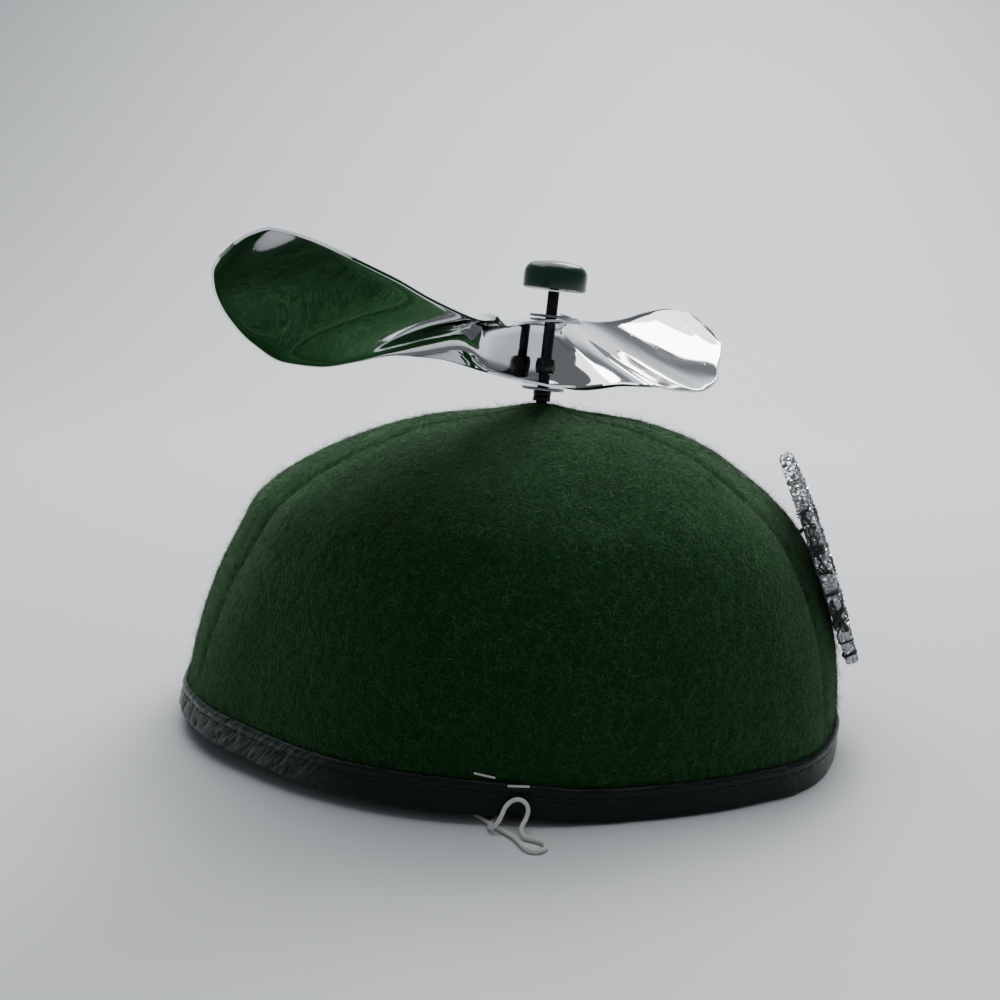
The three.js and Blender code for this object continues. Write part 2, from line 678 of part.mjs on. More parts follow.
// A smooth line from the first handle to the last, drawn towards the others. Its
// steps are shared evenly between the handles, so they are short in the tight bends.
class HandleLine extends THREE.Curve {
  constructor(handles) {
    super();
    const inner = handles.map((handle) => new THREE.Vector3(...handle));
    const before = inner[0].clone().multiplyScalar(2).sub(inner[1]);
    const after = inner.at(-1).clone().multiplyScalar(2).sub(inner.at(-2));
    this.handles = [before, ...inner, after];
    this.spans = inner.length - 1;
  }

  getPoint(t) {
    const first = Math.min(Math.floor(t * this.spans), this.spans - 1);
    const s = t * this.spans - first;
    const pulls = [
      (1 - s) ** 3,
      3 * s ** 3 - 6 * s ** 2 + 4,
      -3 * s ** 3 + 3 * s ** 2 + 3 * s + 1,
      s ** 3,
    ];
    return pulls.reduce(
      (sum, pull, k) => sum.addScaledVector(this.handles[first + k], pull / 6),
      new THREE.Vector3(),
    );
  }

  getUtoTmapping(u) {
    return u;
  }
}

function chinCord() {
  const stepsPerSpan = 3;
  const line = new HandleLine(cordHandles);
  const steps = stepsPerSpan * line.spans;
  return piece("chin_cord", tube(line, cordDiameter / 2, steps, 3), whiteElastic);
}

const part = new THREE.Group();
part.add(...gores(), binding(), crownAssembly(), badge(), badgeThread());

// The origin is the middle of the base of the whole, without the cord
part.updateMatrixWorld(true);
const box = new THREE.Box3().setFromObject(part, true);
const middle = box.getCenter(new THREE.Vector3());
part.position.set(-middle.x, -middle.y, -box.min.z);
part.add(chinCord());

export default part;
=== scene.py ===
# %% [markdown]
# # A propeller beanie in felt, satin and mirror metal
# The hat is a skull cap of six felt gores. A satin strip binds its rim, a post
# on its crown carries a twisted mirror propeller under a green button, and a
# silver badge stands against the front. This lesson dresses the CAD model: it
# keeps every size and place, and adds what the eye expects of the real stuff.

# %% Load the frame
import json
import math

import bpy
import numpy as np
from mathutils import Matrix, Vector, noise


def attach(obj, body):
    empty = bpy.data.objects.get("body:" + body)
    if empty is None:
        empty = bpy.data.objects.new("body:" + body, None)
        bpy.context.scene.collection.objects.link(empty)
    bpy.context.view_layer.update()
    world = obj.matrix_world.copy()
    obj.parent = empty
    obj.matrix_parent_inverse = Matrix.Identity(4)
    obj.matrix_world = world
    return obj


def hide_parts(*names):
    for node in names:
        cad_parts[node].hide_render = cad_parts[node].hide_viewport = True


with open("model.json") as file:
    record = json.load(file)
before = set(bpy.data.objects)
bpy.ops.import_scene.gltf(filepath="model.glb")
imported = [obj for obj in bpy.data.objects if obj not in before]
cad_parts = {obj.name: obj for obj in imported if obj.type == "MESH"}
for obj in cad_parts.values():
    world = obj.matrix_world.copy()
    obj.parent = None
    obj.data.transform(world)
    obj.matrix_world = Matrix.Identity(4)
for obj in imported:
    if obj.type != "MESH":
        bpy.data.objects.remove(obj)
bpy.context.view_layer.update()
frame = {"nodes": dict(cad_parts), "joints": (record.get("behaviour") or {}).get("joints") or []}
MM = 0.001

# %% [markdown]
# Operators act on whatever is selected, so each step first makes its own piece
# the only one selected. A finished piece keeps its object at the origin and its
# place in its mesh, and then it is told which part of the hat it moves with.

# %% Helpers for every piece


def only(obj):
    """Leave edit mode and select this one object"""
    if bpy.context.object and bpy.context.object.mode != "OBJECT":
        bpy.ops.object.mode_set(mode="OBJECT")
    bpy.ops.object.select_all(action="DESELECT")
    obj.select_set(True)
    bpy.context.view_layer.objects.active = obj


def start_fresh():
    """Select nothing at all, before a new primitive is added"""
    if bpy.context.object and bpy.context.object.mode != "OBJECT":
        bpy.ops.object.mode_set(mode="OBJECT")
    bpy.ops.object.select_all(action="DESELECT")


def apply_place(obj):
    only(obj)
    bpy.ops.object.transform_apply(location=True, rotation=True, scale=True)


def apply_modifiers(obj):
    only(obj)
    for modifier in list(obj.modifiers):
        bpy.ops.object.modifier_apply(modifier=modifier.name)


def finish_piece(obj, name, body, material, replaced=()):
    obj.name = name
    obj.data.name = name
    obj.data.materials.clear()
    obj.data.materials.append(material)
    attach(obj, body)
    if replaced:
        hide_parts(*replaced)
    if obj.type == "MESH":
        print(name, len(obj.data.polygons), "faces")
    return obj


def linked(name, data):
    """A new object of this data, in the scene"""
    obj = bpy.data.objects.new(name, data)
    bpy.context.scene.collection.objects.link(obj)
    return obj


def new_mesh(name, points, faces):
    mesh = bpy.data.meshes.new(name)
    mesh.from_pydata([tuple(p) for p in points], [], [tuple(f) for f in faces])
    return linked(name, mesh)


def bevelled_curve(name, lines, radius, resolution):
    """Lines of points, in metres, as one curve object with a round section"""
    curve = bpy.data.curves.new(name, "CURVE")
    curve.dimensions = "3D"
    curve.bevel_depth = radius
    curve.bevel_resolution = resolution
    curve.use_fill_caps = True
    for line in lines:
        spline = curve.splines.new("POLY")
        spline.points.add(len(line) - 1)
        for point, place in zip(spline.points, line):
            point.co = (*place, 1)
    return linked(name, curve)


def face_outwards():
    """Turns all faces of the mesh in edit mode outwards and leaves edit mode"""
    bpy.ops.mesh.select_all(action="SELECT")
    bpy.ops.mesh.normals_make_consistent(inside=False)
    bpy.ops.object.mode_set(mode="OBJECT")


def bevel_edges(obj, width, segments, degrees):
    """Rounds the edges that are sharper than this angle"""
    edges = obj.modifiers.new("soft edges", "BEVEL")
    edges.width = width
    edges.segments = segments
    edges.limit_method = "ANGLE"
    edges.angle_limit = math.radians(degrees)
    apply_modifiers(obj)


def smooth_over(obj, degrees):
    only(obj)
    bpy.ops.object.shade_smooth_by_angle(angle=math.radians(degrees))


# %% [markdown]
# The post leans forward a little, and everything on it leans with it. The
# joint of the propeller gives the foot of the post and its direction, so a
# matrix that stands on the joint lets the round pieces be made upright.

# %% The post's own frame
spin = frame["joints"][0]
post_foot = Vector(spin["pos_m"])
post_axis = Vector(spin["axis"]).normalized()
post_frame = (
    Matrix.Translation(post_foot)
    @ Vector((0, 0, 1)).rotation_difference(post_axis).to_matrix().to_4x4()
)


def post_span(node):
    """Lowest height, highest height and largest radius of a CAD node, along the post"""
    local = [post_frame.inverted() @ v.co for v in frame["nodes"][node].data.vertices]
    heights = [p.z for p in local]
    return min(heights), max(heights), max(math.hypot(p.x, p.y) for p in local)


print("the post leans", round(math.degrees(post_axis.angle(Vector((0, 0, 1)))), 2), "degrees")

# %% [markdown]
# The photograph looks at the side of the hat from a little above, with the
# camera tipped slightly. A 42.7 mm lens on a 36 mm frame gives its perspective
# in a square picture.

# %% Camera
CAP_MIDDLE = Vector((post_foot.x - 7 * MM, post_foot.y, 0))
CAMERA_PLACE = CAP_MIDDLE + Vector((16.26, -332.15, 119.03)) * MM
CAMERA_YAW = 3.45
CAMERA_PITCH = 10.17
CAMERA_ROLL = 1.68
CAMERA_LENS, SENSOR_WIDTH = 42.7, 36

start_fresh()
bpy.ops.object.camera_add(location=CAMERA_PLACE)
camera = bpy.context.object
camera.rotation_mode = "QUATERNION"
turn = (
    Matrix.Rotation(math.radians(CAMERA_YAW), 3, "Z")
    @ Matrix.Rotation(math.radians(90 - CAMERA_PITCH), 3, "X")
    @ Matrix.Rotation(math.radians(CAMERA_ROLL), 3, "Z")
)
camera.rotation_quaternion = turn.to_quaternion()
camera.data.lens = CAMERA_LENS
camera.data.sensor_width = SENSOR_WIDTH
camera.data.clip_start = 0.01
print("camera", [round(c / MM) for c in camera.location], "mm")
bpy.context.scene.camera = camera

# %% [markdown]
# A smooth curve through a few listed numbers describes most of this hat: the
# height of the felt, the seams, the edges of the propeller. This helper joins
# the rows of a table without overshooting, and works on whole arrays at once.

# %% Curves through short tables


def follow(rows, column):
    """A smooth curve through one column of a table, against its first column"""
    x = np.array([row[0] for row in rows], float)
    y = np.array([row[column] for row in rows], float)
    rate = np.diff(y) / np.diff(x)
    slope = np.zeros(len(x))
    slope[0], slope[-1] = rate[0], rate[-1]
    same_way = rate[:-1] * rate[1:] > 0
    total = np.where(same_way, rate[:-1] + rate[1:], 1)
    slope[1:-1] = np.where(same_way, 2 * rate[:-1] * rate[1:] / total, 0)

    def at(value):
        here = np.clip(np.asarray(value, float), x[0], x[-1])
        i = np.clip(np.searchsorted(x, here, side="right") - 1, 0, len(x) - 2)
        span = x[i + 1] - x[i]
        t = (here - x[i]) / span
        start = (1 + 2 * t) * (1 - t) ** 2 * y[i] + t * (1 - t) ** 2 * span * slope[i]
        end = t**2 * (3 - 2 * t) * y[i + 1] + t**2 * (t - 1) * span * slope[i + 1]
        return start + end

    return at


def smoothstep(value, low, high):
    t = np.clip((np.asarray(value, float) - low) / (high - low), 0, 1)
    return t * t * (3 - 2 * t)


# %% [markdown]
# The chin cord is thin round elastic. One end is sewn inside the far side of
# the rim. It lies on the floor inside the cap, slips out under the lifted rim,
# turns back, leans on the binding and goes in again to its other end. A few
# handles pull a smooth line into that route, as they would on a drawn spline,
# and a bevelled curve makes it a cord whose length can be measured.

# %% Chin cord
CORD_DIAMETER = 1.0 * MM
cord_handles = [
    (0.2, 76.9, 6.4), (0.1, 77, 4.4), (0.5, 76, 1.7), (2.8, 72.8, 0.6), (8, 66.5, 0.6),
    (20, 54, 0.6), (32, 36, 0.6), (29, 13.5, 0.6), (13.3, -5.7, 0.6), (-4.2, -20.6, 0.6),
    (-14.4, -38, 0.6), (-13.3, -55.5, 0.6), (-9.6, -66, 0.6), (-5.6, -74.4, 0.6),
    (-2.4, -79.4, 0.6), (0.6, -82.9, 0.6), (3.6, -86, 0.6), (6, -88.5, 0.6),
    (8, -91.2, 0.6), (8.8, -93.7, 0.6), (10.9, -95.9, 0.6), (13.9, -95, 0.6),
    (14.3, -91.9, 0.6), (11.8, -90.2, 0.6), (9.1, -89.6, 0.4), (7.9, -87.7, 1.8),
    (9.5, -85.6, 3.2), (9.9, -84.3, 5.8), (7.3, -83.9, 7.5), (4.5, -84.5, 5.7),
    (3.9, -86.6, 3.9), (2.7, -87.6, 2), (1.3, -86.4, 0.6), (1, -83.9, 0.6),
    (2, -81.4, 0.6), (2.7, -79, 0.6), (3.3, -76.2, 0.9), (3.4, -75.1, 3.4), (3.4, -75, 6.2),
]


def drawn_line(handles, per_span):
    """A smooth line from the first handle to the last, drawn towards the others"""
    inner = [Vector(h) for h in handles]
    drawn = [2 * inner[0] - inner[1]] + inner + [2 * inner[-1] - inner[-2]]
    line = []
    for a, b, c, d in zip(drawn, drawn[1:], drawn[2:], drawn[3:]):
        for k in range(per_span):
            s = k / per_span
            pulls = (1 - s) ** 3, 3 * s**3 - 6 * s**2 + 4, 3 * s * (1 + s - s**2) + 1, s**3
            line.append((a * pulls[0] + b * pulls[1] + c * pulls[2] + d * pulls[3]) / 6)
    return line + [inner[-1]]


cord_line = [CAP_MIDDLE + q * MM for q in drawn_line(cord_handles, 8)]
chin_elastic = bevelled_curve("chin_elastic", [cord_line], CORD_DIAMETER / 2, 4)

# %% [markdown]
# Three effects come back in several finishes. Matted fibres give felt and cord
# their tangle, fine threads give satin its grain, and handling marks break up
# the gloss of metal and plastic. Each is a node group with named sockets, so
# that a material only says how large and how strong it wants the effect.

# %% Shared node groups


def new_group(name, inputs, outputs):
    group = bpy.data.node_groups.new(name, "ShaderNodeTree")
    for label, kind, value in inputs:
        socket = group.interface.new_socket(label, in_out="INPUT", socket_type=kind)
        if value is not None:
            socket.default_value = value
    for label, kind in outputs:
        group.interface.new_socket(label, in_out="OUTPUT", socket_type=kind)
    entry = group.nodes.new("NodeGroupInput")
    leave = group.nodes.new("NodeGroupOutput")
    return group, entry, leave


def add_node(tree, kind, inputs=None, **settings):
    """A node with its settings; inputs are values or the sockets that feed it"""
    node = tree.nodes.new(kind)
    for key, value in settings.items():
        setattr(node, key, value)
    for key, value in (inputs or {}).items():
        if isinstance(value, bpy.types.NodeSocket):
            tree.links.new(value, node.inputs[key])
        else:
            node.inputs[key].default_value = value
    return node


def math_node(tree, operation, a, b):
    return add_node(tree, "ShaderNodeMath", {0: a, 1: b}, operation=operation).outputs[0]


def matted_fibres():
    """Tangled hairs at a given size: a height, and a mask of the hairs on top"""
    group, entry, leave = new_group(
        "Matted fibres",
        [
            ("Coordinates", "NodeSocketVector", None),
            ("Fibres per metre", "NodeSocketFloat", 900.0),
        ],
        [("Height", "NodeSocketFloat"), ("Loose hairs", "NodeSocketFloat")],
    )
    place, density = entry.outputs[0], entry.outputs[1]
    coarse = math_node(group, "MULTIPLY", density, 0.35)
    wander = add_node(
        group, "ShaderNodeTexNoise", {"Vector": place, "Scale": coarse, "Detail": 2.0},
    )
    bend = add_node(
        group, "ShaderNodeVectorMath", {0: wander.outputs["Color"], 1: (0.006, 0.006, 0.006)},
        operation="MULTIPLY",
    )
    bent = add_node(group, "ShaderNodeVectorMath", {0: place, 1: bend.outputs[0]}, operation="ADD")
    strands = []
    for turned in ((0.3, 0.2, 0.5), (1.4, 0.9, 2.1), (2.3, 2.0, 3.9)):
        spun = add_node(
            group, "ShaderNodeMapping",
            {"Vector": bent.outputs[0], "Rotation": turned, "Scale": (1.0, 0.12, 1.0)},
        )
        hairs = add_node(
            group, "ShaderNodeTexNoise",
            {
                "Vector": spun.outputs[0], "Scale": density, "Detail": 3.0, "Roughness": 0.6,
                "Distortion": 0.6,
            },
        )
        strands.append(hairs.outputs["Fac"])
    top = math_node(
        group, "MAXIMUM", math_node(group, "MAXIMUM", strands[0], strands[1]), strands[2],
    )
    group.links.new(top, leave.inputs[0])
    loose = add_node(group, "ShaderNodeMapRange", {"Value": top, "From Min": 0.6, "From Max": 0.8})
    group.links.new(loose.outputs[0], leave.inputs[1])
    return group


def fine_threads():
    """Threads that run along a cloth's own U direction"""
    group, entry, leave = new_group(
        "Fine threads",
        [("Coordinates", "NodeSocketVector", None), ("Threads", "NodeSocketFloat", 60.0)],
        [("Height", "NodeSocketFloat"), ("Slubs", "NodeSocketFloat")],
    )
    stretched = add_node(
        group, "ShaderNodeMapping", {"Vector": entry.outputs[0], "Scale": (0.15, 1.0, 1.0)},
    )
    threads = add_node(
        group, "ShaderNodeTexNoise",
        {"Vector": stretched.outputs[0], "Scale": entry.outputs[1], "Detail": 2.0},
    )
    slubs = add_node(
        group, "ShaderNodeTexNoise",
        {
            "Vector": stretched.outputs[0],
            "Scale": math_node(group, "MULTIPLY", entry.outputs[1], 0.08),
        },
    )
    group.links.new(threads.outputs["Fac"], leave.inputs[0])
    group.links.new(slubs.outputs["Fac"], leave.inputs[1])
    return group


def handling_marks():
    """Fingerprints, dust and hairline scratches on a hard surface"""
    group, entry, leave = new_group(
        "Handling marks",
        [("Coordinates", "NodeSocketVector", None), ("Marks per metre", "NodeSocketFloat", 60.0),
         ("Clean roughness", "NodeSocketFloat", 0.1),
         ("Marked roughness", "NodeSocketFloat", 0.3)],
        [
            ("Roughness", "NodeSocketFloat"), ("Scratches", "NodeSocketFloat"),
            ("Dust", "NodeSocketFloat"),
        ],
    )
    place, scale = entry.outputs[0], entry.outputs[1]
    smears = add_node(
        group, "ShaderNodeTexNoise",
        {"Vector": place, "Scale": scale, "Detail": 5.0, "Roughness": 0.65},
    )
    rough = add_node(
        group, "ShaderNodeMapRange",
        {"Value": smears.outputs["Fac"], "From Min": 0.45, "From Max": 0.8,
         "To Min": entry.outputs[2], "To Max": entry.outputs[3]},
    )
    drawn = add_node(
        group, "ShaderNodeMapping",
        {"Vector": place, "Rotation": (0.2, 0.1, 0.7), "Scale": (1, 0.02, 1)},
    )
    lines = add_node(
        group, "ShaderNodeTexNoise",
        {
            "Vector": drawn.outputs[0], "Scale": math_node(group, "MULTIPLY", scale, 22.0),
            "Detail": 1.0,
        },
    )
    scratches = add_node(
        group, "ShaderNodeMapRange",
        {"Value": lines.outputs["Fac"], "From Min": 0.66, "From Max": 0.74},
    )
    specks = add_node(
        group, "ShaderNodeTexVoronoi", {
            "Vector": place, "Scale": math_node(group, "MULTIPLY", scale, 14.0),
        },
    )
    dust = add_node(
        group, "ShaderNodeMapRange",
        {"Value": specks.outputs["Distance"], "From Min": 0.16, "From Max": 0.06},
    )
    group.links.new(rough.outputs[0], leave.inputs[0])
    group.links.new(scratches.outputs[0], leave.inputs[1])
    group.links.new(dust.outputs[0], leave.inputs[2])
    return group


FIBRES = matted_fibres()
THREADS = fine_threads()
MARKS = handling_marks()

# %% [markdown]
# A material starts from the Principled shader and takes the effects that its
# stuff shows. Felt is dull with a soft sheen and hair-by-hair colour, satin
# shines along its folds and has painted highlights on its gathered ridges, and
# the propeller is all but a mirror.

# %% Materials


def new_material(name, **values):
    """A material with a Principled shader; returns it, its tree and the shader"""
    material = bpy.data.materials.new(name)
    material.use_nodes = True
    shader = material.node_tree.nodes["Principled BSDF"]
    for key, value in values.items():
        shader.inputs[key.replace("_", " ")].default_value = value
    return material, material.node_tree, shader


def use_group(tree, group, inputs):
    return add_node(tree, "ShaderNodeGroup", inputs, node_tree=group)


def object_place(tree):
    return tree.nodes.new("ShaderNodeTexCoord").outputs["Object"]


def mix_colour(tree, factor, first, second):
    node = add_node(tree, "ShaderNodeMix", data_type="RGBA")
    for socket, value in (
        (node.inputs[0], factor), (node.inputs[6], first), (node.inputs[7], second),
    ):
        if isinstance(value, bpy.types.NodeSocket):
            tree.links.new(value, socket)
        else:
            socket.default_value = value
    return node.outputs[2]


def set_colour(tree, shader, factor, first, second):
    """Lets the base colour run from one colour to another over the surface"""
    tree.links.new(mix_colour(tree, factor, first, second), shader.inputs["Base Color"])


def bump(tree, shader, height, strength, distance):
    node = add_node(
        tree, "ShaderNodeBump", {"Height": height, "Strength": strength, "Distance": distance},
    )
    tree.links.new(node.outputs[0], shader.inputs["Normal"])


def felt_material():
    material, tree, shader = new_material(
        "green_wool_felt", Roughness=0.95, Sheen_Weight=0.5, Sheen_Roughness=0.35,
        Sheen_Tint=(0.45, 0.8, 0.45, 1), Specular_IOR_Level=0.05,
    )
    place = object_place(tree)
    hairs = use_group(tree, FIBRES, {"Coordinates": place, "Fibres per metre": 1100.0})
    patches = add_node(tree, "ShaderNodeTexNoise", {"Vector": place, "Scale": 45.0, "Detail": 4.0})
    ground = mix_colour(
        tree, patches.outputs["Fac"], (0.003, 0.028, 0.006, 1), (0.006, 0.05, 0.011, 1),
    )
    set_colour(tree, shader, hairs.outputs["Loose hairs"], ground, (0.016, 0.095, 0.024, 1))
    bump(tree, shader, hairs.outputs["Height"], 0.9, 0.0012)
    return material


def fuzz_material():
    material, tree, shader = new_material(
        "loose_green_fibres", Roughness=0.7, Sheen_Weight=0.3, Specular_IOR_Level=0.15,
    )
    shade = add_node(tree, "ShaderNodeAttribute", attribute_name="shade")
    set_colour(tree, shader, shade.outputs["Fac"], (0.003, 0.03, 0.006, 1), (0.055, 0.2, 0.06, 1))
    return material


def satin_material():
    material, tree, shader = new_material(
        "slate_green_satin", Roughness=0.4, Sheen_Weight=0.18, Sheen_Roughness=0.35,
        Sheen_Tint=(0.75, 0.9, 0.85, 1), Specular_IOR_Level=0.2,
    )
    cloth = tree.nodes.new("ShaderNodeUVMap").outputs["UV"]
    gathered = add_node(tree, "ShaderNodeAttribute", attribute_name="gathered").outputs["Fac"]
    slanted = add_node(
        tree, "ShaderNodeMapping", {"Vector": cloth, "Rotation": (0, 0, math.radians(-48))},
    )
    plain = use_group(tree, THREADS, {"Coordinates": cloth, "Threads": 1500.0})
    pulled = use_group(tree, THREADS, {"Coordinates": slanted.outputs[0], "Threads": 1300.0})
    colour = mix_colour(
        tree, plain.outputs["Slubs"], (0.0015, 0.0065, 0.0045, 1), (0.005, 0.014, 0.011, 1),
    )
    # Painted highlights: the ridges of the gathered puckers are coloured lighter than the dark
    # satin between them
    painted_ridge_highlights = add_node(
        tree, "ShaderNodeMapRange",
        {"Value": pulled.outputs["Height"], "From Min": 0.4, "From Max": 0.68},
    )
    pulled_colour_with_painted_highlights = mix_colour(
        tree, painted_ridge_highlights.outputs[0], (0.005, 0.010, 0.009, 1), (0.075, 0.105, 0.095, 1),
    )
    set_colour(tree, shader, gathered, colour, pulled_colour_with_painted_highlights)
    rough = add_node(
        tree, "ShaderNodeMapRange",
        {"Value": plain.outputs["Slubs"], "To Min": 0.32, "To Max": 0.5},
    )
    tree.links.new(rough.outputs[0], shader.inputs["Roughness"])
    height = add_node(tree, "ShaderNodeMix", data_type="FLOAT")
    for socket, value in zip(
        height.inputs[:1] + height.inputs[2:4],
        (gathered, plain.outputs["Height"], pulled.outputs["Height"]),
    ):
        tree.links.new(value, socket)
    bump(tree, shader, height.outputs[0], 0.6, 0.0005)
    return material


def hard_material(name, colour, metallic, clean, marked, dust_colour, **values):
    """Metal or plastic with handling marks"""
    material, tree, shader = new_material(name, Metallic=metallic, **values)
    marks = use_group(
        tree, MARKS,
        {"Coordinates": object_place(tree), "Marks per metre": 55.0,
         "Clean roughness": clean, "Marked roughness": marked},
    )
    tree.links.new(marks.outputs["Roughness"], shader.inputs["Roughness"])
    dust = math_node(tree, "MULTIPLY", marks.outputs["Dust"], 0.5)
    set_colour(tree, shader, dust, colour, dust_colour)
    bump(tree, shader, marks.outputs["Scratches"], 0.12, 0.00005)
    return material


def glitter_material():
    material, tree, shader = new_material(
        "silver_glitter", Metallic=1.0, Roughness=0.25, Specular_IOR_Level=0.6,
    )
    shade = add_node(tree, "ShaderNodeAttribute", attribute_name="shade")
    set_colour(tree, shader, shade.outputs["Fac"], (0.35, 0.36, 0.38, 1), (0.92, 0.93, 0.95, 1))
    rough = add_node(
        tree, "ShaderNodeMapRange", {
            "Value": shade.outputs["Fac"], "To Min": 0.38, "To Max": 0.14,
        },
    )
    tree.links.new(rough.outputs[0], shader.inputs["Roughness"])
    return material


def backing_material():
    material, tree, shader = new_material(
        "badge_backing", Metallic=0.6, Roughness=0.5, Specular_IOR_Level=0.5,
    )
    place = object_place(tree)
    grain = add_node(tree, "ShaderNodeTexVoronoi", {"Vector": place, "Scale": 1600.0})
    set_colour(
        tree, shader, grain.outputs["Distance"], (0.62, 0.63, 0.65, 1), (0.3, 0.31, 0.33, 1),
    )
    bump(tree, shader, grain.outputs["Distance"], 0.8, 0.0004)
    return material


def thread_material(name, dark, light, sheen):
    material, tree, shader = new_material(
        name, Roughness=0.75, Sheen_Weight=sheen, Specular_IOR_Level=0.3,
    )
    hairs = use_group(
        tree, FIBRES, {"Coordinates": object_place(tree), "Fibres per metre": 2600.0},
    )
    set_colour(tree, shader, hairs.outputs["Height"], dark, light)
    bump(tree, shader, hairs.outputs["Height"], 0.7, 0.0003)
    return material


felt = felt_material()
loose_fibre = fuzz_material()
satin = satin_material()
dark_metal = hard_material(
    "dark_metal", (0.03, 0.031, 0.032, 1), 0.85, 0.28, 0.5, (0.2, 0.2, 0.2, 1),
)
washer_steel = hard_material(
    "washer_steel", (0.36, 0.37, 0.38, 1), 1.0, 0.25, 0.45, (0.5, 0.5, 0.5, 1),
)
mirror = hard_material("mirror_sheet", (0.74, 0.75, 0.77, 1), 1.0, 0.03, 0.12, (0.7, 0.7, 0.7, 1))
black_bead = hard_material(
    "black_bead", (0.01, 0.011, 0.011, 1), 0.2, 0.12, 0.3, (0.15, 0.15, 0.15, 1),
)
green_plastic = hard_material(
    "green_plastic", (0.002, 0.034, 0.014, 1), 0.0, 0.26, 0.42, (0.04, 0.1, 0.07, 1),
    Coat_Weight=0.15, Coat_Roughness=0.2,
)
glitter = glitter_material()
badge_backing = backing_material()
dark_thread = thread_material("dark_thread", (0.004, 0.006, 0.005, 1), (0.03, 0.04, 0.035, 1), 0.2)
binding_thread = thread_material(
    "binding_thread", (0.003, 0.008, 0.007, 1), (0.015, 0.03, 0.027, 1), 0.1,
)
white_elastic = thread_material("white_elastic", (0.55, 0.55, 0.52, 1), (0.92, 0.92, 0.9, 1), 0.4)

# %% Finish the chin cord
finish_piece(chin_elastic, "chin_elastic", "cap", white_elastic, ["chin_cord"])

# %% [markdown]
# Felt takes its shape from the block it was steamed on. The meridian says how
# the wall rises and closes, the seams draw it in, and one side of the rim stands
# off the table. The rows are the ones that the CAD solids follow.

# %% The shape of the felt
HALF_LENGTH, HALF_WIDTH = 91.5, 83.0
CAP_HEIGHT = post_foot.z / MM
FELT_THICKNESS = 2.5
FELT_FOOT = 1.1
CROWN_FORWARD = 7.0
OUTLINE_SWELL = 5.0
HOLE_RADIUS = 2.3
RIM_LIFT = 5.0
SEAM_DEPTH = 3.2
SEAM_SPREAD = 8.0

# rise from rim to post hole; reach at the front, reach at the rear, height, forward
meridian = [
    (0.00, 1.000, 1.000, 0.000, 0.00), (0.10, 1.000, 0.981, 0.130, 0.03),
    (0.22, 0.984, 0.949, 0.289, 0.08), (0.35, 0.941, 0.902, 0.454, 0.15),
    (0.46, 0.879, 0.858, 0.573, 0.30), (0.56, 0.797, 0.816, 0.675, 0.46),
    (0.67, 0.683, 0.715, 0.771, 0.55), (0.78, 0.551, 0.563, 0.858, 0.62),
    (0.89, 0.331, 0.342, 0.937, 0.76), (0.95, 0.154, 0.166, 0.964, 0.88),
    (1.00, 0.000, 0.000, 1.000, 1.00),
]
# angle from the front, and the share of OUTLINE_SWELL by which the rim swells there
outline = [
    (0, -0.36), (20, 0.42), (35, 0.94), (50, 0.34), (70, -0.20), (90, -0.10),
    (110, -0.14), (130, -0.10), (150, 0.54), (165, 0.08), (180, -0.03),
]
# azimuth of each seam, and the share of SEAM_DEPTH by which it draws the felt in
seams = [(-150, 1.00), (-90, 0.44), (-30, 0.38), (30, 0.44), (90, 0.44), (150, 0.56)]
# azimuth round the rim, and the share of RIM_LIFT that it stands off the table
rim_rise = [
    (-190, 0.00), (-180, 0.28), (-165, 0.60), (-150, 0.96), (-130, 0.78),
    (-112, 0.52), (-95, 0.42), (-86, 0.34), (-78, 0.12), (-71, 0.00),
]
front_at, rear_at, height_at, forward_at = (follow(meridian, c) for c in (1, 2, 3, 4))
swell_at = follow(outline, 1)
rim_rise_at = follow(rim_rise, 1)


def rim_lift(azimuth):
    wrapped = np.where(np.asarray(azimuth) > 90, np.asarray(azimuth) - 360, azimuth)
    return RIM_LIFT * rim_rise_at(wrapped)


def turn_between(start, azimuth):
    return (np.asarray(azimuth) - start + 540) % 360 - 180


def felt_point(azimuth, rise):
    """A point of the felt's outside, in millimetres; works on arrays"""
    angle = np.radians(azimuth)
    towards_front = 0.5 + 0.5 * np.cos(angle)
    reach = rear_at(rise) + (front_at(rise) - rear_at(rise)) * towards_front
    fade = 0.4 + 0.6 * smoothstep(rise, 0.12, 0.45)
    dent = SEAM_DEPTH * fade * sum(
        share * np.exp(-((turn_between(seam, azimuth) / SEAM_SPREAD) ** 2))
        for seam, share in seams
    )
    swell = OUTLINE_SWELL * swell_at(np.abs(turn_between(0, azimuth))) * reach
    swollen = swell - dent * np.minimum(1, 2 * reach)
    along = HOLE_RADIUS + (HALF_LENGTH - HOLE_RADIUS) * reach + swollen
    across = HOLE_RADIUS + (HALF_WIDTH - HOLE_RADIUS) * reach + swollen
    height = FELT_FOOT + (CAP_HEIGHT - FELT_FOOT) * height_at(rise)
    return np.stack([
        along * np.cos(angle) + CROWN_FORWARD * forward_at(rise) + CAP_MIDDLE.x / MM,
        across * np.sin(angle) + CAP_MIDDLE.y / MM,
        height + rim_lift(azimuth) * (1 - np.asarray(rise)) ** 2,
    ], axis=-1)


def felt_normal(azimuth, rise):
    low = felt_point(azimuth, np.maximum(0, np.asarray(rise) - 0.01))
    high = felt_point(azimuth, np.minimum(1, np.asarray(rise) + 0.01))
    turned = felt_point(np.asarray(azimuth) + 1, rise) - felt_point(np.asarray(azimuth) - 1, rise)
    normal = np.cross(turned, high - low)
    return normal / np.linalg.norm(normal, axis=-1, keepdims=True)


def rise_at_height(azimuth, height):
    """The rise at which the felt's outside stands at this height, by halving"""
    azimuth, height = np.broadcast_arrays(np.asarray(azimuth, float), height)
    low, high = np.zeros(azimuth.shape), np.ones(azimuth.shape)
    for _ in range(30):
        middle = (low + high) / 2
        under = felt_point(azimuth, middle)[..., 2] < height
        low, high = np.where(under, middle, low), np.where(under, high, middle)
    return low


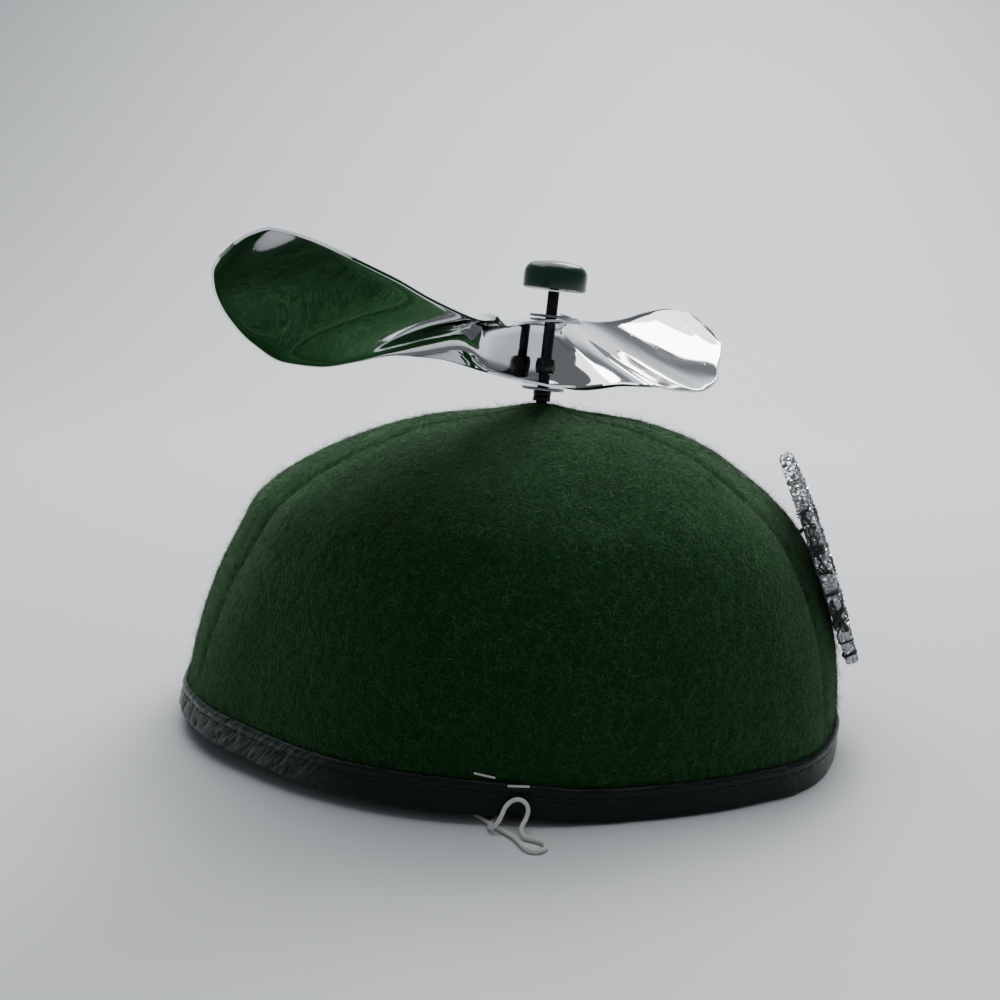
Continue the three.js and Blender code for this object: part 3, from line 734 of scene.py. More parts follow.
print(
    "the felt is", round(float(felt_point(0, 0)[0] - felt_point(180, 0)[0])), "mm long at the rim",
)

# %% [markdown]
# Each gore starts as a flat grid, like a cut piece of cloth before sewing. Its
# points are carried onto the felt's shape, with a narrow valley at both seams
# and the soft lumps that felt has, and then the sheet gets its thickness.

# %% Six felt gores
GORE_ANGLE, GORE_COLUMNS, GORE_ROWS = 60, 56, 84
SEAM_GROOVE_DEPTH = 0.8
SEAM_GROOVE_WIDTH = 1.3
LUMP_DEPTH = 0.4
gore_names = [
    "gore_front", "gore_front_left", "gore_rear_left", "gore_rear", "gore_rear_right",
    "gore_front_right",
]


def lumps(points):
    """Uneven felt: a slow swell and finer lumps"""
    return np.array([
        noise.noise(Vector(p) / 22) + 0.45 * noise.noise(Vector(p) / 7 + Vector((5, 5, 5)))
        for p in points
    ])


def grid_piece(name, columns, rows):
    """A grid of one metre square; returns it and each point's shares across and up"""
    start_fresh()
    bpy.ops.mesh.primitive_grid_add(x_subdivisions=columns, y_subdivisions=rows, size=1)
    obj = bpy.context.object
    obj.name = name
    flat = np.array([tuple(v.co) for v in obj.data.vertices])
    return obj, flat[:, 0] + 0.5, flat[:, 1] + 0.5


def place_points(obj, points):
    obj.data.vertices.foreach_set("co", (np.asarray(points) * MM).astype(np.float32).ravel())
    obj.data.update()


def felt_gore(name, middle):
    obj, across, up = grid_piece(name, GORE_COLUMNS, GORE_ROWS)
    azimuth = middle + (across - 0.5) * GORE_ANGLE
    points = felt_point(azimuth, up)
    normals = felt_normal(azimuth, np.clip(up, 0, 0.985))
    reach = HOLE_RADIUS + (HALF_WIDTH - HOLE_RADIUS) * rear_at(up)
    edge = np.minimum(across, 1 - across) * math.radians(GORE_ANGLE) * reach
    groove = SEAM_GROOVE_DEPTH * np.exp(-((edge / SEAM_GROOVE_WIDTH) ** 2)) * np.minimum(
        1, reach / 12,
    )
    above_binding = smoothstep(up, 0.06, 0.14)
    swell = LUMP_DEPTH * lumps(points) * above_binding * np.minimum(1, reach / 20)
    place_points(obj, points + normals * (swell - groove * above_binding)[:, None])
    return obj


def add_thickness(obj, thickness):
    wall = obj.modifiers.new("wall", "SOLIDIFY")
    wall.thickness = thickness * MM
    wall.offset = -1
    apply_modifiers(obj)


gore_sheets = [felt_gore(name, GORE_ANGLE * i) for i, name in enumerate(gore_names)]
print("felt gores laid out:", len(gore_sheets))

# %% [markdown]
# Wool felt is never bald: short hairs lie over it and a few stand up, which is
# what softens its outline. Hair by hair modelling would take days, so the hairs
# are laid out as one array per gore, each a bent, tapering sliver of three faces.

# %% Loose fibres
FIBRES_PER_GORE = 18500
FIBRE_WIDTH = 0.075
FIBRE_STEPS = 4
FIBRE_LENGTHS = 1.0, 6.0
STANDING_SHARE = 0.14
BINDING_HEIGHT = 8.05


def sample_surface(obj, count, rng):
    """Points spread evenly over a mesh, with their normals, in millimetres"""
    mesh = obj.data
    mesh.calc_loop_triangles()
    corners = np.empty(len(mesh.vertices) * 3, np.float32)
    mesh.vertices.foreach_get("co", corners)
    corners = corners.reshape(-1, 3) / MM
    index = np.empty(len(mesh.loop_triangles) * 3, np.int32)
    mesh.loop_triangles.foreach_get("vertices", index)
    a, b, c = (corners[index.reshape(-1, 3)[:, k]] for k in range(3))
    cross = np.cross(b - a, c - a)
    area = np.linalg.norm(cross, axis=1)
    chosen = rng.choice(len(area), size=count, p=area / area.sum())
    u, v = rng.random((2, count, 1))
    fold = (u + v) > 1
    u, v = np.where(fold, 1 - u, u), np.where(fold, 1 - v, v)
    points = a[chosen] + u * (b - a)[chosen] + v * (c - a)[chosen]
    return points, cross[chosen] / np.maximum(area[chosen], 1e-12)[:, None]


def unit(vectors):
    return vectors / np.maximum(np.linalg.norm(vectors, axis=1, keepdims=True), 1e-9)


def sliver_mesh(name, rings, shades):
    """Joins strips of paired points into one mesh with a shade per strip"""
    count, steps = rings.shape[0], rings.shape[1]
    points = rings.reshape(-1, 3) * MM
    first = (np.arange(count) * steps * 2)[:, None, None]
    k = (np.arange(steps - 1) * 2)[None, :, None]
    quads = (first + k + np.array([0, 1, 3, 2])[None, None, :]).reshape(-1, 4)
    mesh = bpy.data.meshes.new(name)
    mesh.vertices.add(len(points))
    mesh.vertices.foreach_set("co", points.astype(np.float32).ravel())
    mesh.loops.add(quads.size)
    mesh.loops.foreach_set("vertex_index", quads.astype(np.int32).ravel())
    mesh.polygons.add(len(quads))
    mesh.polygons.foreach_set("loop_start", np.arange(0, quads.size, 4, dtype=np.int32))
    mesh.update(calc_edges=True)
    shade = mesh.attributes.new("shade", "FLOAT", "POINT")
    shade.data.foreach_set("value", np.repeat(shades, steps * 2).astype(np.float32))
    return linked(name, mesh)


def fibres_on(name, obj, count, seed, lengths, width, standing, lowest):
    """Loose hairs rooted all over a mesh, above a given height for each azimuth"""
    rng = np.random.default_rng(seed)
    roots, normals = sample_surface(obj, 2 * count, rng)
    azimuth = np.degrees(
        np.arctan2(roots[:, 1] - CAP_MIDDLE.y / MM, roots[:, 0] - CAP_MIDDLE.x / MM),
    )
    kept = np.flatnonzero(roots[:, 2] > rim_lift(azimuth) + lowest)[:count]
    roots, normals, count = roots[kept], normals[kept], len(kept)
    sideways = unit(np.cross(normals, rng.normal(size=(count, 3))))
    flat, proud = rng.uniform(0.02, 0.3, count), rng.uniform(0.5, 1.6, count)
    lift = np.where(rng.random(count) < standing, proud, flat)
    heading = unit(sideways + normals * lift[:, None])
    length = lengths[0] + (lengths[1] - lengths[0]) * rng.random(count) ** 2
    curl = unit(np.cross(heading, normals)) * (rng.normal(size=count) * 0.55 * length)[:, None]
    flat_side = unit(np.cross(heading, normals + 0.6 * rng.normal(size=(count, 3))))
    steps = []
    for share in np.linspace(0, 1, FIBRE_STEPS):
        centre = roots + heading * (length * share * (1 - 0.35 * share))[:, None] + curl * share**2
        half = flat_side * (width / 2 * (1.0 - 0.7 * share))
        steps.append(np.stack([centre - half, centre + half], axis=1))
    return sliver_mesh(name, np.stack(steps, axis=1), rng.random(count) ** 2)


for i, sheet in enumerate(gore_sheets):
    fuzz = fibres_on(
        f"{gore_names[i]}_fibres", sheet, FIBRES_PER_GORE, 11 + i, FIBRE_LENGTHS,
        FIBRE_WIDTH, STANDING_SHARE,
        BINDING_HEIGHT + 0.3,
    )
    finish_piece(fuzz, fuzz.name, "cap", loose_fibre)

for sheet, name in zip(gore_sheets, gore_names):
    add_thickness(sheet, FELT_THICKNESS)
    smooth_over(sheet, 60)
    finish_piece(sheet, f"{name}_felt", "cap", felt, [name])

# %% [markdown]
# The binding is a satin strip folded over the rim. Its upper edge is turned
# under, which leaves a narrow lip with a line of stitches beneath it. At the
# rear the strip was eased round the curve and has gathered into slanting
# puckers, and its end laps over its start near the front.

# %% Rim binding
# away from the felt and up from the foot, in millimetres, round the folded strip
binding_profile = [
    (-3.2, 0.0), (-1.3, 0.0), (0.4, 0.0), (0.9, 0.2), (1.15, 0.8), (1.25, 2.0), (1.25, 3.4),
    (1.15, 4.6), (1.0, 5.4), (0.95, 5.75), (1.2, 6.0), (1.4, 6.5), (1.42, 7.1), (1.25, 7.7),
    (0.9, 8.05), (0.5, 8.05), (0.25, 7.7), (0.2, 6.0), (0.2, 1.0), (-2.7, 1.0), (-2.7, 7.7),
    (-2.95, 8.05), (-3.35, 8.0), (-3.6, 7.6), (-3.6, 0.5), (-3.45, 0.15),
]
BINDING_SECTIONS = 1300
LIP_FOOT = 5.8
PUCKER_DEPTH = 1.1
PUCKER_PITCH = 6.2
RIM_LENGTH = 553.0
OVERLAP_AT = -40.0
OVERLAP_SPAN = 5.0
profile_away, profile_up = np.array(binding_profile).T
along_profile = np.concatenate(
    [[0], np.cumsum(np.hypot(np.diff(profile_away), np.diff(profile_up)))],
)


def gathered_at(azimuth):
    """How much the strip is gathered: all of it at the rear, hardly at all elsewhere"""
    return smoothstep(-azimuth, 110, 124) * (1 - smoothstep(-azimuth, 172, 179))


def binding_out(azimuth, up):
    """How far the strip's outside stands off its plain shape, at an angle and a height"""
    along = azimuth * RIM_LENGTH / 360
    gathered = float(gathered_at(azimuth))
    wander = noise.noise(Vector((along / 7, up / 9, 1.5)))
    bundle = (along / PUCKER_PITCH - up / 7.0 + 0.9 * wander) % 1
    folded = (4 * bundle * (1 - bundle)) ** 0.55 - 0.75
    below_lip = min(1, max(0, up / LIP_FOOT))
    fade = math.sin(math.pi * below_lip) ** 0.6 if up < LIP_FOOT else 0.3
    ripple = 0.12 * noise.noise(Vector((along / 4, up / 5, 7.5)))
    from_lap = azimuth - (OVERLAP_AT - 0.35 * up)
    lap = 0.45 * max(0, (OVERLAP_SPAN + from_lap) / OVERLAP_SPAN) if from_lap < 0 else 0
    return PUCKER_DEPTH * gathered * fade * folded + ripple + lap


def binding_frames(azimuth, up):
    """Where the strip's plain inner line stands at each height, and the way out from it"""
    height = rim_lift(azimuth) + np.asarray(up)
    place = felt_point(azimuth, rise_at_height(azimuth, height))
    place[..., 2] = height
    out = felt_normal(azimuth, 0.0)
    out[..., 2] = 0
    return place, out / np.linalg.norm(out, axis=-1, keepdims=True)


def rim_binding():
    count = len(binding_profile)
    azimuths = -180 + 360 * np.arange(BINDING_SECTIONS) / BINDING_SECTIONS
    place, out = binding_frames(azimuths[:, None] + 0 * profile_up, profile_up[None, :])
    extra = np.array([
        [binding_out(a, up) if away > 0.6 else 0 for away, up in binding_profile] for a in azimuths
    ])
    points = (place + out * (profile_away + extra)[..., None]).reshape(-1, 3) * MM
    faces = []
    for i in range(BINDING_SECTIONS):
        after = (i + 1) % BINDING_SECTIONS
        for k in range(count):
            above = (k + 1) % count
            faces.append(
                (i * count + k, after * count + k, after * count + above, i * count + above),
            )
    obj = new_mesh("rim_binding_satin", points, faces)
    layer = obj.data.uv_layers.new(name="UVMap")
    for loop in obj.data.loops:
        section, k = divmod(loop.vertex_index, count)
        layer.data[loop.index].uv = (
            section / BINDING_SECTIONS * RIM_LENGTH * MM, along_profile[k] * MM,
        )
    gathered = obj.data.attributes.new("gathered", "FLOAT", "POINT")
    gathered.data.foreach_set("value", np.repeat(gathered_at(azimuths), count).astype(np.float32))
    only(obj)
    bpy.ops.object.mode_set(mode="EDIT")
    face_outwards()
    bpy.ops.object.shade_smooth()
    return obj


binding = rim_binding()
finish_piece(binding, "rim_binding_satin", "cap", satin, ["rim_binding"])

# %% [markdown]
# A stitch is a short capsule. One is modelled from a cylinder with
# rounded ends, then a copy is set into the groove under the lip at every step
# round the rim, and all of them are joined.

# %% Stitches of the binding


def capsule(length, radius):
    """A thread's visible stretch: a bar with rounded ends, along X"""
    start_fresh()
    bpy.ops.mesh.primitive_cylinder_add(
        vertices=8, radius=radius * MM, depth=length * MM, rotation=(0, math.pi / 2, 0),
    )
    obj = bpy.context.object
    apply_place(obj)
    bevel_edges(obj, radius * 0.7 * MM, 2, 60)
    bpy.ops.object.shade_smooth()
    return obj


def copies_joined(model, places, name):
    """Copies a model to each matrix and joins the copies into one mesh"""
    source = model.data
    corners = np.array([tuple(v.co) + (1,) for v in source.vertices])
    faces = [tuple(p.vertices) for p in source.polygons]
    points = np.concatenate([corners @ np.array(m).T for m in places])[:, :3]
    all_faces = [tuple(i + k * len(corners) for i in f) for k in range(len(places)) for f in faces]
    obj = new_mesh(name, points, all_faces)
    bpy.data.objects.remove(model)
    only(obj)
    bpy.ops.object.shade_smooth()
    return obj


def on_binding(azimuth, up, sunk):
    """A frame on the binding's outside: X along the rim, Z away from it"""
    away = float(np.interp(up, profile_up[3:14], profile_away[3:14])) + binding_out(azimuth, up)
    place, out = (Vector(v) for v in binding_frames(np.array(azimuth), up))
    rim = Vector((0, 0, 1)).cross(out)
    frame_here = Matrix((rim, Vector((0, 0, 1)), out)).transposed().to_4x4()
    return Matrix.Translation((place + out * (away - sunk)) * MM) @ frame_here


STITCH_LENGTH, STITCH_PITCH, STITCH_RADIUS = 2.2, 3.5, 0.2
STITCH_HEIGHT, STITCH_SUNK = 5.55, 0.05
stitch_count = round(RIM_LENGTH / STITCH_PITCH)
stitch_places = [
    on_binding(-180 + 360 * i / stitch_count, STITCH_HEIGHT, STITCH_SUNK) for i in range(
        stitch_count,
    )
]
stitches = copies_joined(capsule(STITCH_LENGTH, STITCH_RADIUS), stitch_places, "binding_stitches")
finish_piece(stitches, "binding_stitches", "cap", binding_thread)

# %% [markdown]
# Two white stitches at the side hold the end of the elastic. The first bites
# into the felt just above the binding and the second sits on the lip.

# %% White stitches
FELT_STITCH_AT, FELT_STITCH_HEIGHT = -90.4, 11.1
LIP_STITCH_AT, LIP_STITCH_HEIGHT = -85.5, 7.7
WHITE_LENGTH, WHITE_RADIUS, WHITE_PROUD = 5.0, 0.26, 0.35
felt_rise = rise_at_height(FELT_STITCH_AT, FELT_STITCH_HEIGHT)
felt_spot = Vector(felt_point(FELT_STITCH_AT, felt_rise))
felt_out = Vector(felt_normal(FELT_STITCH_AT, felt_rise))
felt_rim = Vector((0, 0, 1)).cross(felt_out).normalized()
felt_frame = Matrix((felt_rim, felt_out.cross(felt_rim), felt_out)).transposed().to_4x4()
white_places = [
    Matrix.Translation((felt_spot + felt_out * WHITE_PROUD) * MM) @ felt_frame
    @ Matrix.Rotation(math.radians(-10), 4, "Z"),
    on_binding(LIP_STITCH_AT, LIP_STITCH_HEIGHT, 0.0),
]
white_stitches = copies_joined(capsule(WHITE_LENGTH, WHITE_RADIUS), white_places, "white_stitches")
finish_piece(white_stitches, "white_stitches", "cap", white_elastic)

# %% [markdown]
# The post, its washers, the bead and the button are all round, so each is spun
# from half of its outline. Small bevels catch the light where a real edge would.

# %% Round pieces on the post


def spun(name, profile, sides, bevel):
    """Spins a closed outline of radius and height, in metres, round the post"""
    mesh = bpy.data.meshes.new(name)
    rim = [(r, 0, z) for r, z in profile]
    closed = profile[0][0] > 1e-9
    edges = [(i, i + 1) for i in range(len(rim) - 1)]
    if closed:
        edges.append((len(rim) - 1, 0))
    mesh.from_pydata(rim, edges, [])
    obj = linked(name, mesh)
    only(obj)
    bpy.ops.object.mode_set(mode="EDIT")
    bpy.ops.mesh.select_all(action="SELECT")
    bpy.ops.mesh.spin(steps=sides, angle=2 * math.pi, center=(0, 0, 0), axis=(0, 0, 1))
    bpy.ops.mesh.select_all(action="SELECT")
    bpy.ops.mesh.remove_doubles(threshold=1e-6)
    face_outwards()
    if bevel:
        bevel_edges(obj, bevel * MM, 3, 35)
    obj.data.transform(post_frame)
    smooth_over(obj, 40)
    return obj


post_low, post_high, flange_radius = post_span("post")
washer_low, washer_high, washer_radius = post_span("lower_washer")
upper_low, upper_high, _ = post_span("upper_washer")
bead_low, bead_high, bead_radius = post_span("hub_bead")
button_low, button_high, button_radius = post_span("button")
POST_RADIUS = 1.6 * MM
COLLAR_RADIUS = 2.5 * MM
BORE = POST_RADIUS + 0.3 * MM
collar_top = washer_low - 0.3 * MM
collar_foot = collar_top - 2.8 * MM
flange_top = post_low + 1.0 * MM

post = spun("post_metal", [
    (0, post_low), (flange_radius, post_low), (flange_radius, flange_top), (
        POST_RADIUS, flange_top,
    ),
    (POST_RADIUS, collar_foot), (COLLAR_RADIUS, collar_foot), (
        COLLAR_RADIUS, collar_foot + 1.1 * MM,
    ),
    (COLLAR_RADIUS * 0.9, collar_foot + 1.4 * MM), (COLLAR_RADIUS, collar_foot + 1.7 * MM),
    (COLLAR_RADIUS, collar_top), (POST_RADIUS, collar_top), (POST_RADIUS, post_high), (
        0, post_high,
    ),
], 48, 0.15)
finish_piece(post, "post_metal", "cap", dark_metal, ["post"])

for node, low, high in (
    ("lower_washer", washer_low, washer_high), ("upper_washer", upper_low, upper_high),
):
    ring = spun(
        f"{node}_steel", [(BORE, low), (washer_radius, low), (washer_radius, high), (BORE, high)],
        64, 0.18,
    )
    finish_piece(ring, f"{node}_steel", "cap", washer_steel, [node])

bead_middle = (bead_low + bead_high) / 2
bead = spun("hub_bead_black", [
    (BORE, bead_low), (bead_radius * 0.86, bead_low), (
        bead_radius * 0.97, (bead_low + bead_middle) / 2,
    ),
    (bead_radius, bead_middle), (bead_radius * 0.97, (bead_high + bead_middle) / 2),
    (bead_radius * 0.86, bead_high), (BORE, bead_high),
], 48, 0.12)
finish_piece(bead, "hub_bead_black", "cap", black_bead, ["hub_bead"])

# %% [markdown]
# The button is moulded plastic: flat underneath, with an almost straight side
# that rounds into a shallow dome. A quarter turn of arc in its outline makes
# the shoulder, and the spin does the rest.

# %% Button
SHOULDER = 3.2 * MM
button_profile = [
    (0, button_low), (button_radius - 0.9 * MM, button_low),
    (button_radius - 0.15 * MM, button_low + 0.3 * MM,
),
                  (button_radius, button_low + 1.0 * MM)]
for step in range(9):
    angle = math.pi / 2 * step / 8
    button_profile.append((
        button_radius - SHOULDER * (1 - math.cos(angle)),
        button_high - 0.6 * MM - SHOULDER * (1 - math.sin(angle)),
    ))
button_profile += [((button_radius - SHOULDER) * 0.55, button_high - 0.14 * MM), (0, button_high)]
button = spun("button_plastic", button_profile, 72, 0)
finish_piece(button, "button_plastic", "cap", green_plastic, ["button"])

# %% [markdown]
# The propeller is one strip of thin mirror sheet. Its middle is folded to a C
# that the post passes through twice, and from there it twists into two blades.
# A mirror shows every dent, so the strip is a dense grid placed on smooth
# curves, and only then does it get its thickness and its two holes.

# %% Propeller
BLADE_REACH, BLADE_HALF_WIDTH = 124.7, 24.0
HUB_HEIGHT, HUB_DEPTH = 18.0, 11.0
SHEET_THICKNESS = 0.6
BLADE_AZIMUTH = 58.5
hub_floor = washer_high / MM + 0.3 + SHEET_THICKNESS / 2

# along, topOut, topUp, lowOut, lowUp, bow, square: the rows of the CAD strip
stations = [
    (-1.000, 0.35, 1.38, 0.20, 1.23, 0.00, 2), (-0.990, 0.46, 1.49, 0.08, 1.12, 0.01, 2),
    (-0.970, 0.58, 1.57, -0.04, 1.01, 0.03, 2), (-0.926, 0.77, 1.52, -0.24, 0.82, 0.07, 2),
    (-0.852, 0.87, 1.39, -0.50, 0.58, 0.14, 2), (-0.744, 0.90, 1.22, -0.77, 0.28, 0.22, 2),
    (-0.636, 0.83, 1.06, -0.90, 0.05, 0.27, 2), (-0.528, 0.71, 0.95, -0.96, 0.01, 0.27, 2),
    (-0.429, 0.56, 0.87, -0.92, 0.11, 0.27, 2), (-0.346, 0.44, 0.83, -0.73, 0.25, 0.33, 2.3),
    (-0.296, 0.38, 0.82, -0.39, 0.27, 0.48, 2.8), (-0.247, 0.31, 0.83, -0.01, 0.18, 0.70, 3.5),
    (-0.181, 0.23, 0.90, 0.22, 0.10, 0.88, 5), (-0.086, 0.25, 0.98, 0.26, 0.04, 0.98, 7),
    (-0.052, 0.27, 1.00, 0.27, 0.02, 1.00, 8), (0.052, 0.27, 1.00, 0.27, 0.02, 1.00, 8),
    (0.085, 0.13, 1.04, 0.35, 0.05, 0.82, 5), (0.115, -0.12, 1.09, 0.47, 0.10, 0.54, 3.3),
    (0.156, -0.38, 1.13, 0.63, 0.15, 0.36, 2.4), (0.264, -0.66, 1.11, 0.77, 0.14, 0.27, 2),
    (0.377, -0.84, 1.07, 0.77, 0.09, 0.27, 2), (0.495, -0.98, 1.08, 0.74, 0.08, 0.27, 2),
    (0.604, -1.05, 1.13, 0.65, 0.17, 0.27, 2), (0.712, -1.07, 1.24, 0.48, 0.30, 0.22, 2),
    (0.820, -1.03, 1.42, 0.20, 0.53, 0.14, 2), (0.894, -0.90, 1.52, 0.04, 0.74, 0.07, 2),
    (0.938, -0.70, 1.49, -0.08, 0.92, 0.03, 2), (0.958, -0.57, 1.39, -0.19, 1.03, 0.01, 2),
    (0.968, -0.45, 1.28, -0.30, 1.14, 0.00, 2),
]
STRIP_STEPS, STRIP_ACROSS = 240, 40


def strip_point(along, across):
    """A point of the strip, in the post's frame before it is turned, in millimetres"""
    top_out, top_up, low_out, low_up, bow, square = (
        follow(stations, c)(along) for c in range(1, 7)
    )
    top = np.stack([top_out * BLADE_HALF_WIDTH, hub_floor + top_up * HUB_HEIGHT])
    low = np.stack([low_out * BLADE_HALF_WIDTH, hub_floor + low_up * HUB_HEIGHT])
    chord = low - top
    length = np.hypot(*chord)
    swing = np.pi * across
    down = 0.5 - 0.5 * np.sign(np.cos(swing)) * np.abs(np.cos(swing)) ** (2 / square)
    belly = bow * HUB_DEPTH * np.abs(np.sin(swing)) ** (2 / square)
    out = top[0] + chord[0] * down + chord[1] / length * belly
    up = top[1] + chord[1] * down - chord[0] / length * belly
    return np.stack([along * BLADE_REACH, -out, up], axis=-1)


def propeller():
    obj, share, across = grid_piece("propeller_mirror", STRIP_STEPS, STRIP_ACROSS)
    eased = 0.5 + 0.5 * np.sin((share - 0.5) * np.pi * 0.9) / math.sin(np.pi * 0.45)
    along = stations[0][0] + (stations[-1][0] - stations[0][0]) * np.clip(eased, 0, 1)
    place_points(obj, strip_point(along, across))
    wall = obj.modifiers.new("sheet", "SOLIDIFY")
    wall.thickness = SHEET_THICKNESS * MM
    wall.offset = 0
    wall.use_even_offset = False
    apply_modifiers(obj)
    start_fresh()
    bpy.ops.mesh.primitive_cylinder_add(
        vertices=48, radius=POST_RADIUS + 0.4 * MM, depth=40 * MM, location=(0, 0, 14 * MM),
    )
    drill = bpy.context.object
    apply_place(drill)
    holes = obj.modifiers.new("holes", "BOOLEAN")
    holes.operation = "DIFFERENCE"
    holes.object = drill
    apply_modifiers(obj)
    bpy.data.objects.remove(drill)
    obj.data.transform(post_frame @ Matrix.Rotation(math.radians(BLADE_AZIMUTH), 4, "Z"))
    smooth_over(obj, 50)
    return obj


blades = propeller()
finish_piece(blades, "propeller_mirror", "propeller", mirror, ["propeller"])

# %% [markdown]
# The badge stands against the front gore, bowed a little from top to bottom.
# Its plate starts as a disc: the face is inset for a raised border, pushed
# down inside it, and the whole is then bowed. Glitter covers it in small flat
# flakes, each tipped its own way, which is why it sparkles at the edge.

# %% Badge plate
BADGE_RADIUS, BADGE_THICKNESS, BADGE_BOW = 29.5, 3.0, 1.2
BORDER_WIDTH, BORDER_SLOPE, FACE_DEPTH = 2.4, 0.5, 0.7
FACE_RING, BADGE_EDGE_BEVEL = 4.2, 0.35
BADGE_AZIMUTH, BADGE_HEIGHT, BADGE_STAND, BADGE_TILT = -9.0, 48.5, 1.1, 21.5
badge_turn, badge_lean = math.radians(BADGE_AZIMUTH), math.radians(BADGE_TILT)
badge_seat = felt_point(BADGE_AZIMUTH, rise_at_height(BADGE_AZIMUTH, BADGE_HEIGHT))
badge_facing = np.array([
    math.cos(badge_turn) * math.cos(badge_lean), math.sin(badge_turn) * math.cos(badge_lean),
    math.sin(badge_lean),
])
badge_sideways = np.array([-math.sin(badge_turn), math.cos(badge_turn), 0.0])
badge_upwards = np.cross(badge_facing, badge_sideways)


def badge_place(points):
    """Bows flat points of the badge (side, up, out) and stands them on the felt"""
    side, up, out = np.asarray(points, float).T
    away = BADGE_STAND - BADGE_BOW * (up / BADGE_RADIUS) ** 2 + out
    return (
        badge_seat + away[:, None] * badge_facing + side[:, None] * badge_sideways
        + up[:, None] * badge_upwards
    )


def badge_plate():
    start_fresh()
    bpy.ops.mesh.primitive_circle_add(vertices=96, radius=BADGE_RADIUS, fill_type="NGON")
    obj = bpy.context.object
    bpy.ops.object.mode_set(mode="EDIT")
    bpy.ops.mesh.select_all(action="SELECT")
    bpy.ops.mesh.extrude_region_move(TRANSFORM_OT_translate={"value": (0, 0, BADGE_THICKNESS)})
    bpy.ops.mesh.inset(thickness=BORDER_WIDTH, depth=0)
    bpy.ops.mesh.inset(thickness=BORDER_SLOPE, depth=-FACE_DEPTH)
    for _ in range(5):
        bpy.ops.mesh.inset(thickness=FACE_RING, depth=0)
    face_outwards()
    bevel_edges(obj, BADGE_EDGE_BEVEL, 3, 40)
    flat = np.array([tuple(v.co) for v in obj.data.vertices])
    place_points(obj, badge_place(flat))
    smooth_over(obj, 40)
    return obj


plate = badge_plate()
finish_piece(plate, "badge_plate", "cap", badge_backing, ["badge"])

# %% Badge glitter
FLAKE_COUNT = 9000
FLAKE_RADIUS = 0.42


def glitter_flakes():
    rng = np.random.default_rng(5)
    on_edge = rng.random(FLAKE_COUNT) < 0.3
    angle = rng.uniform(0, 2 * np.pi, FLAKE_COUNT)
    radius = np.where(
        on_edge, BADGE_RADIUS, BADGE_RADIUS * np.sqrt(rng.random(FLAKE_COUNT)) * 0.99,
    )
    level = np.where(radius > BADGE_RADIUS - 2.7, BADGE_THICKNESS, BADGE_THICKNESS - FACE_DEPTH)
    out = np.where(on_edge, rng.uniform(0.2, BADGE_THICKNESS, FLAKE_COUNT), level + 0.12)
    middles = np.stack([radius * np.cos(angle), radius * np.sin(angle), out], axis=1)
    face = np.where(
        on_edge[:, None],
        np.stack([np.cos(angle), np.sin(angle), 0 * angle], axis=1),
        np.array([0.0, 0.0, 1.0]),
    )
    middles += face * np.where(on_edge, 0.1, 0.0)[:, None]
    # Painted shade: edge flakes grow sparser towards the bottom of the plate, so the lower edge,
    # facing away from the overhead light, glints less than the top
    dropped_for_painted_shade = on_edge & (rng.random(FLAKE_COUNT) > 0.12 + 0.88 * smoothstep(middles[:, 1], -4, 12))
    face = unit(face + 0.45 * rng.normal(size=face.shape))
    one = unit(np.cross(face, rng.normal(size=face.shape)))
    two = np.cross(face, one)
    size = FLAKE_RADIUS * rng.uniform(0.6, 1.3, FLAKE_COUNT)
    middles, one, two, size = (v[~dropped_for_painted_shade] for v in (middles, one, two, size))
    count = len(size)
    corner = np.radians(np.arange(6) * 60)
    points = (
        middles[:, None, :]
        + size[:, None, None] * np.cos(corner)[None, :, None] * one[:, None, :]
        + size[:, None, None] * np.sin(corner)[None, :, None] * two[:, None, :]
    ).reshape(-1, 3)
    faces = (np.arange(count)[:, None] * 6 + np.arange(6)).tolist()
    obj = new_mesh("badge_flakes", badge_place(points) * MM, faces)
    shade = obj.data.attributes.new("shade", "FLOAT", "POINT")
    shade.data.foreach_set("value", np.repeat(rng.random(count), 6).astype(np.float32))
    return obj


flakes = glitter_flakes()
finish_piece(flakes, "badge_flakes", "cap", glitter)

# %% [markdown]
# Dark thread ties the badge on. Near its upper part it bridges to the felt in a
# twisted pair, and lower down it crosses the plate's edge in short wraps that
# pull the plate against the hat.

# %% Threads of the badge


def thread_tubes(name, lines, radius):
    """Bevelled curves along the lines, made one mesh"""
    obj = bevelled_curve(name, lines, radius * MM, 2)
    only(obj)
    bpy.ops.object.convert(target="MESH")
    bpy.ops.object.shade_smooth()
    return bpy.context.object


THREAD_PLACE = 0.3
BRIDGE_WIND = 0.35
BRIDGE_RADIUS, WRAP_RADIUS = 0.28, 0.22


def bridge_lines():
    """Three plies wound round the line from the felt, square to it, to the plate's back"""
    on_plate = badge_place([(0, THREAD_PLACE * BADGE_RADIUS, 0)])[0]
    rises = np.linspace(0, 1, 2001)
    felt_line = felt_point(np.full_like(rises, BADGE_AZIMUTH), rises)
    on_felt = felt_line[np.argmin(np.linalg.norm(felt_line - on_plate, axis=1))]
    across = np.cross(on_plate - on_felt, badge_sideways)
    across /= np.linalg.norm(across)
    lines = []
    for phase in (0, 2.1, 4.2):
        line = []
        for share in np.linspace(0.02, 0.98, 17):
            angle = phase + share * 5
            wind = across * math.cos(angle) + badge_sideways * math.sin(angle)
            line.append(Vector(on_felt + (on_plate - on_felt) * share + wind * BRIDGE_WIND) * MM)
        lines.append(line)
    return lines


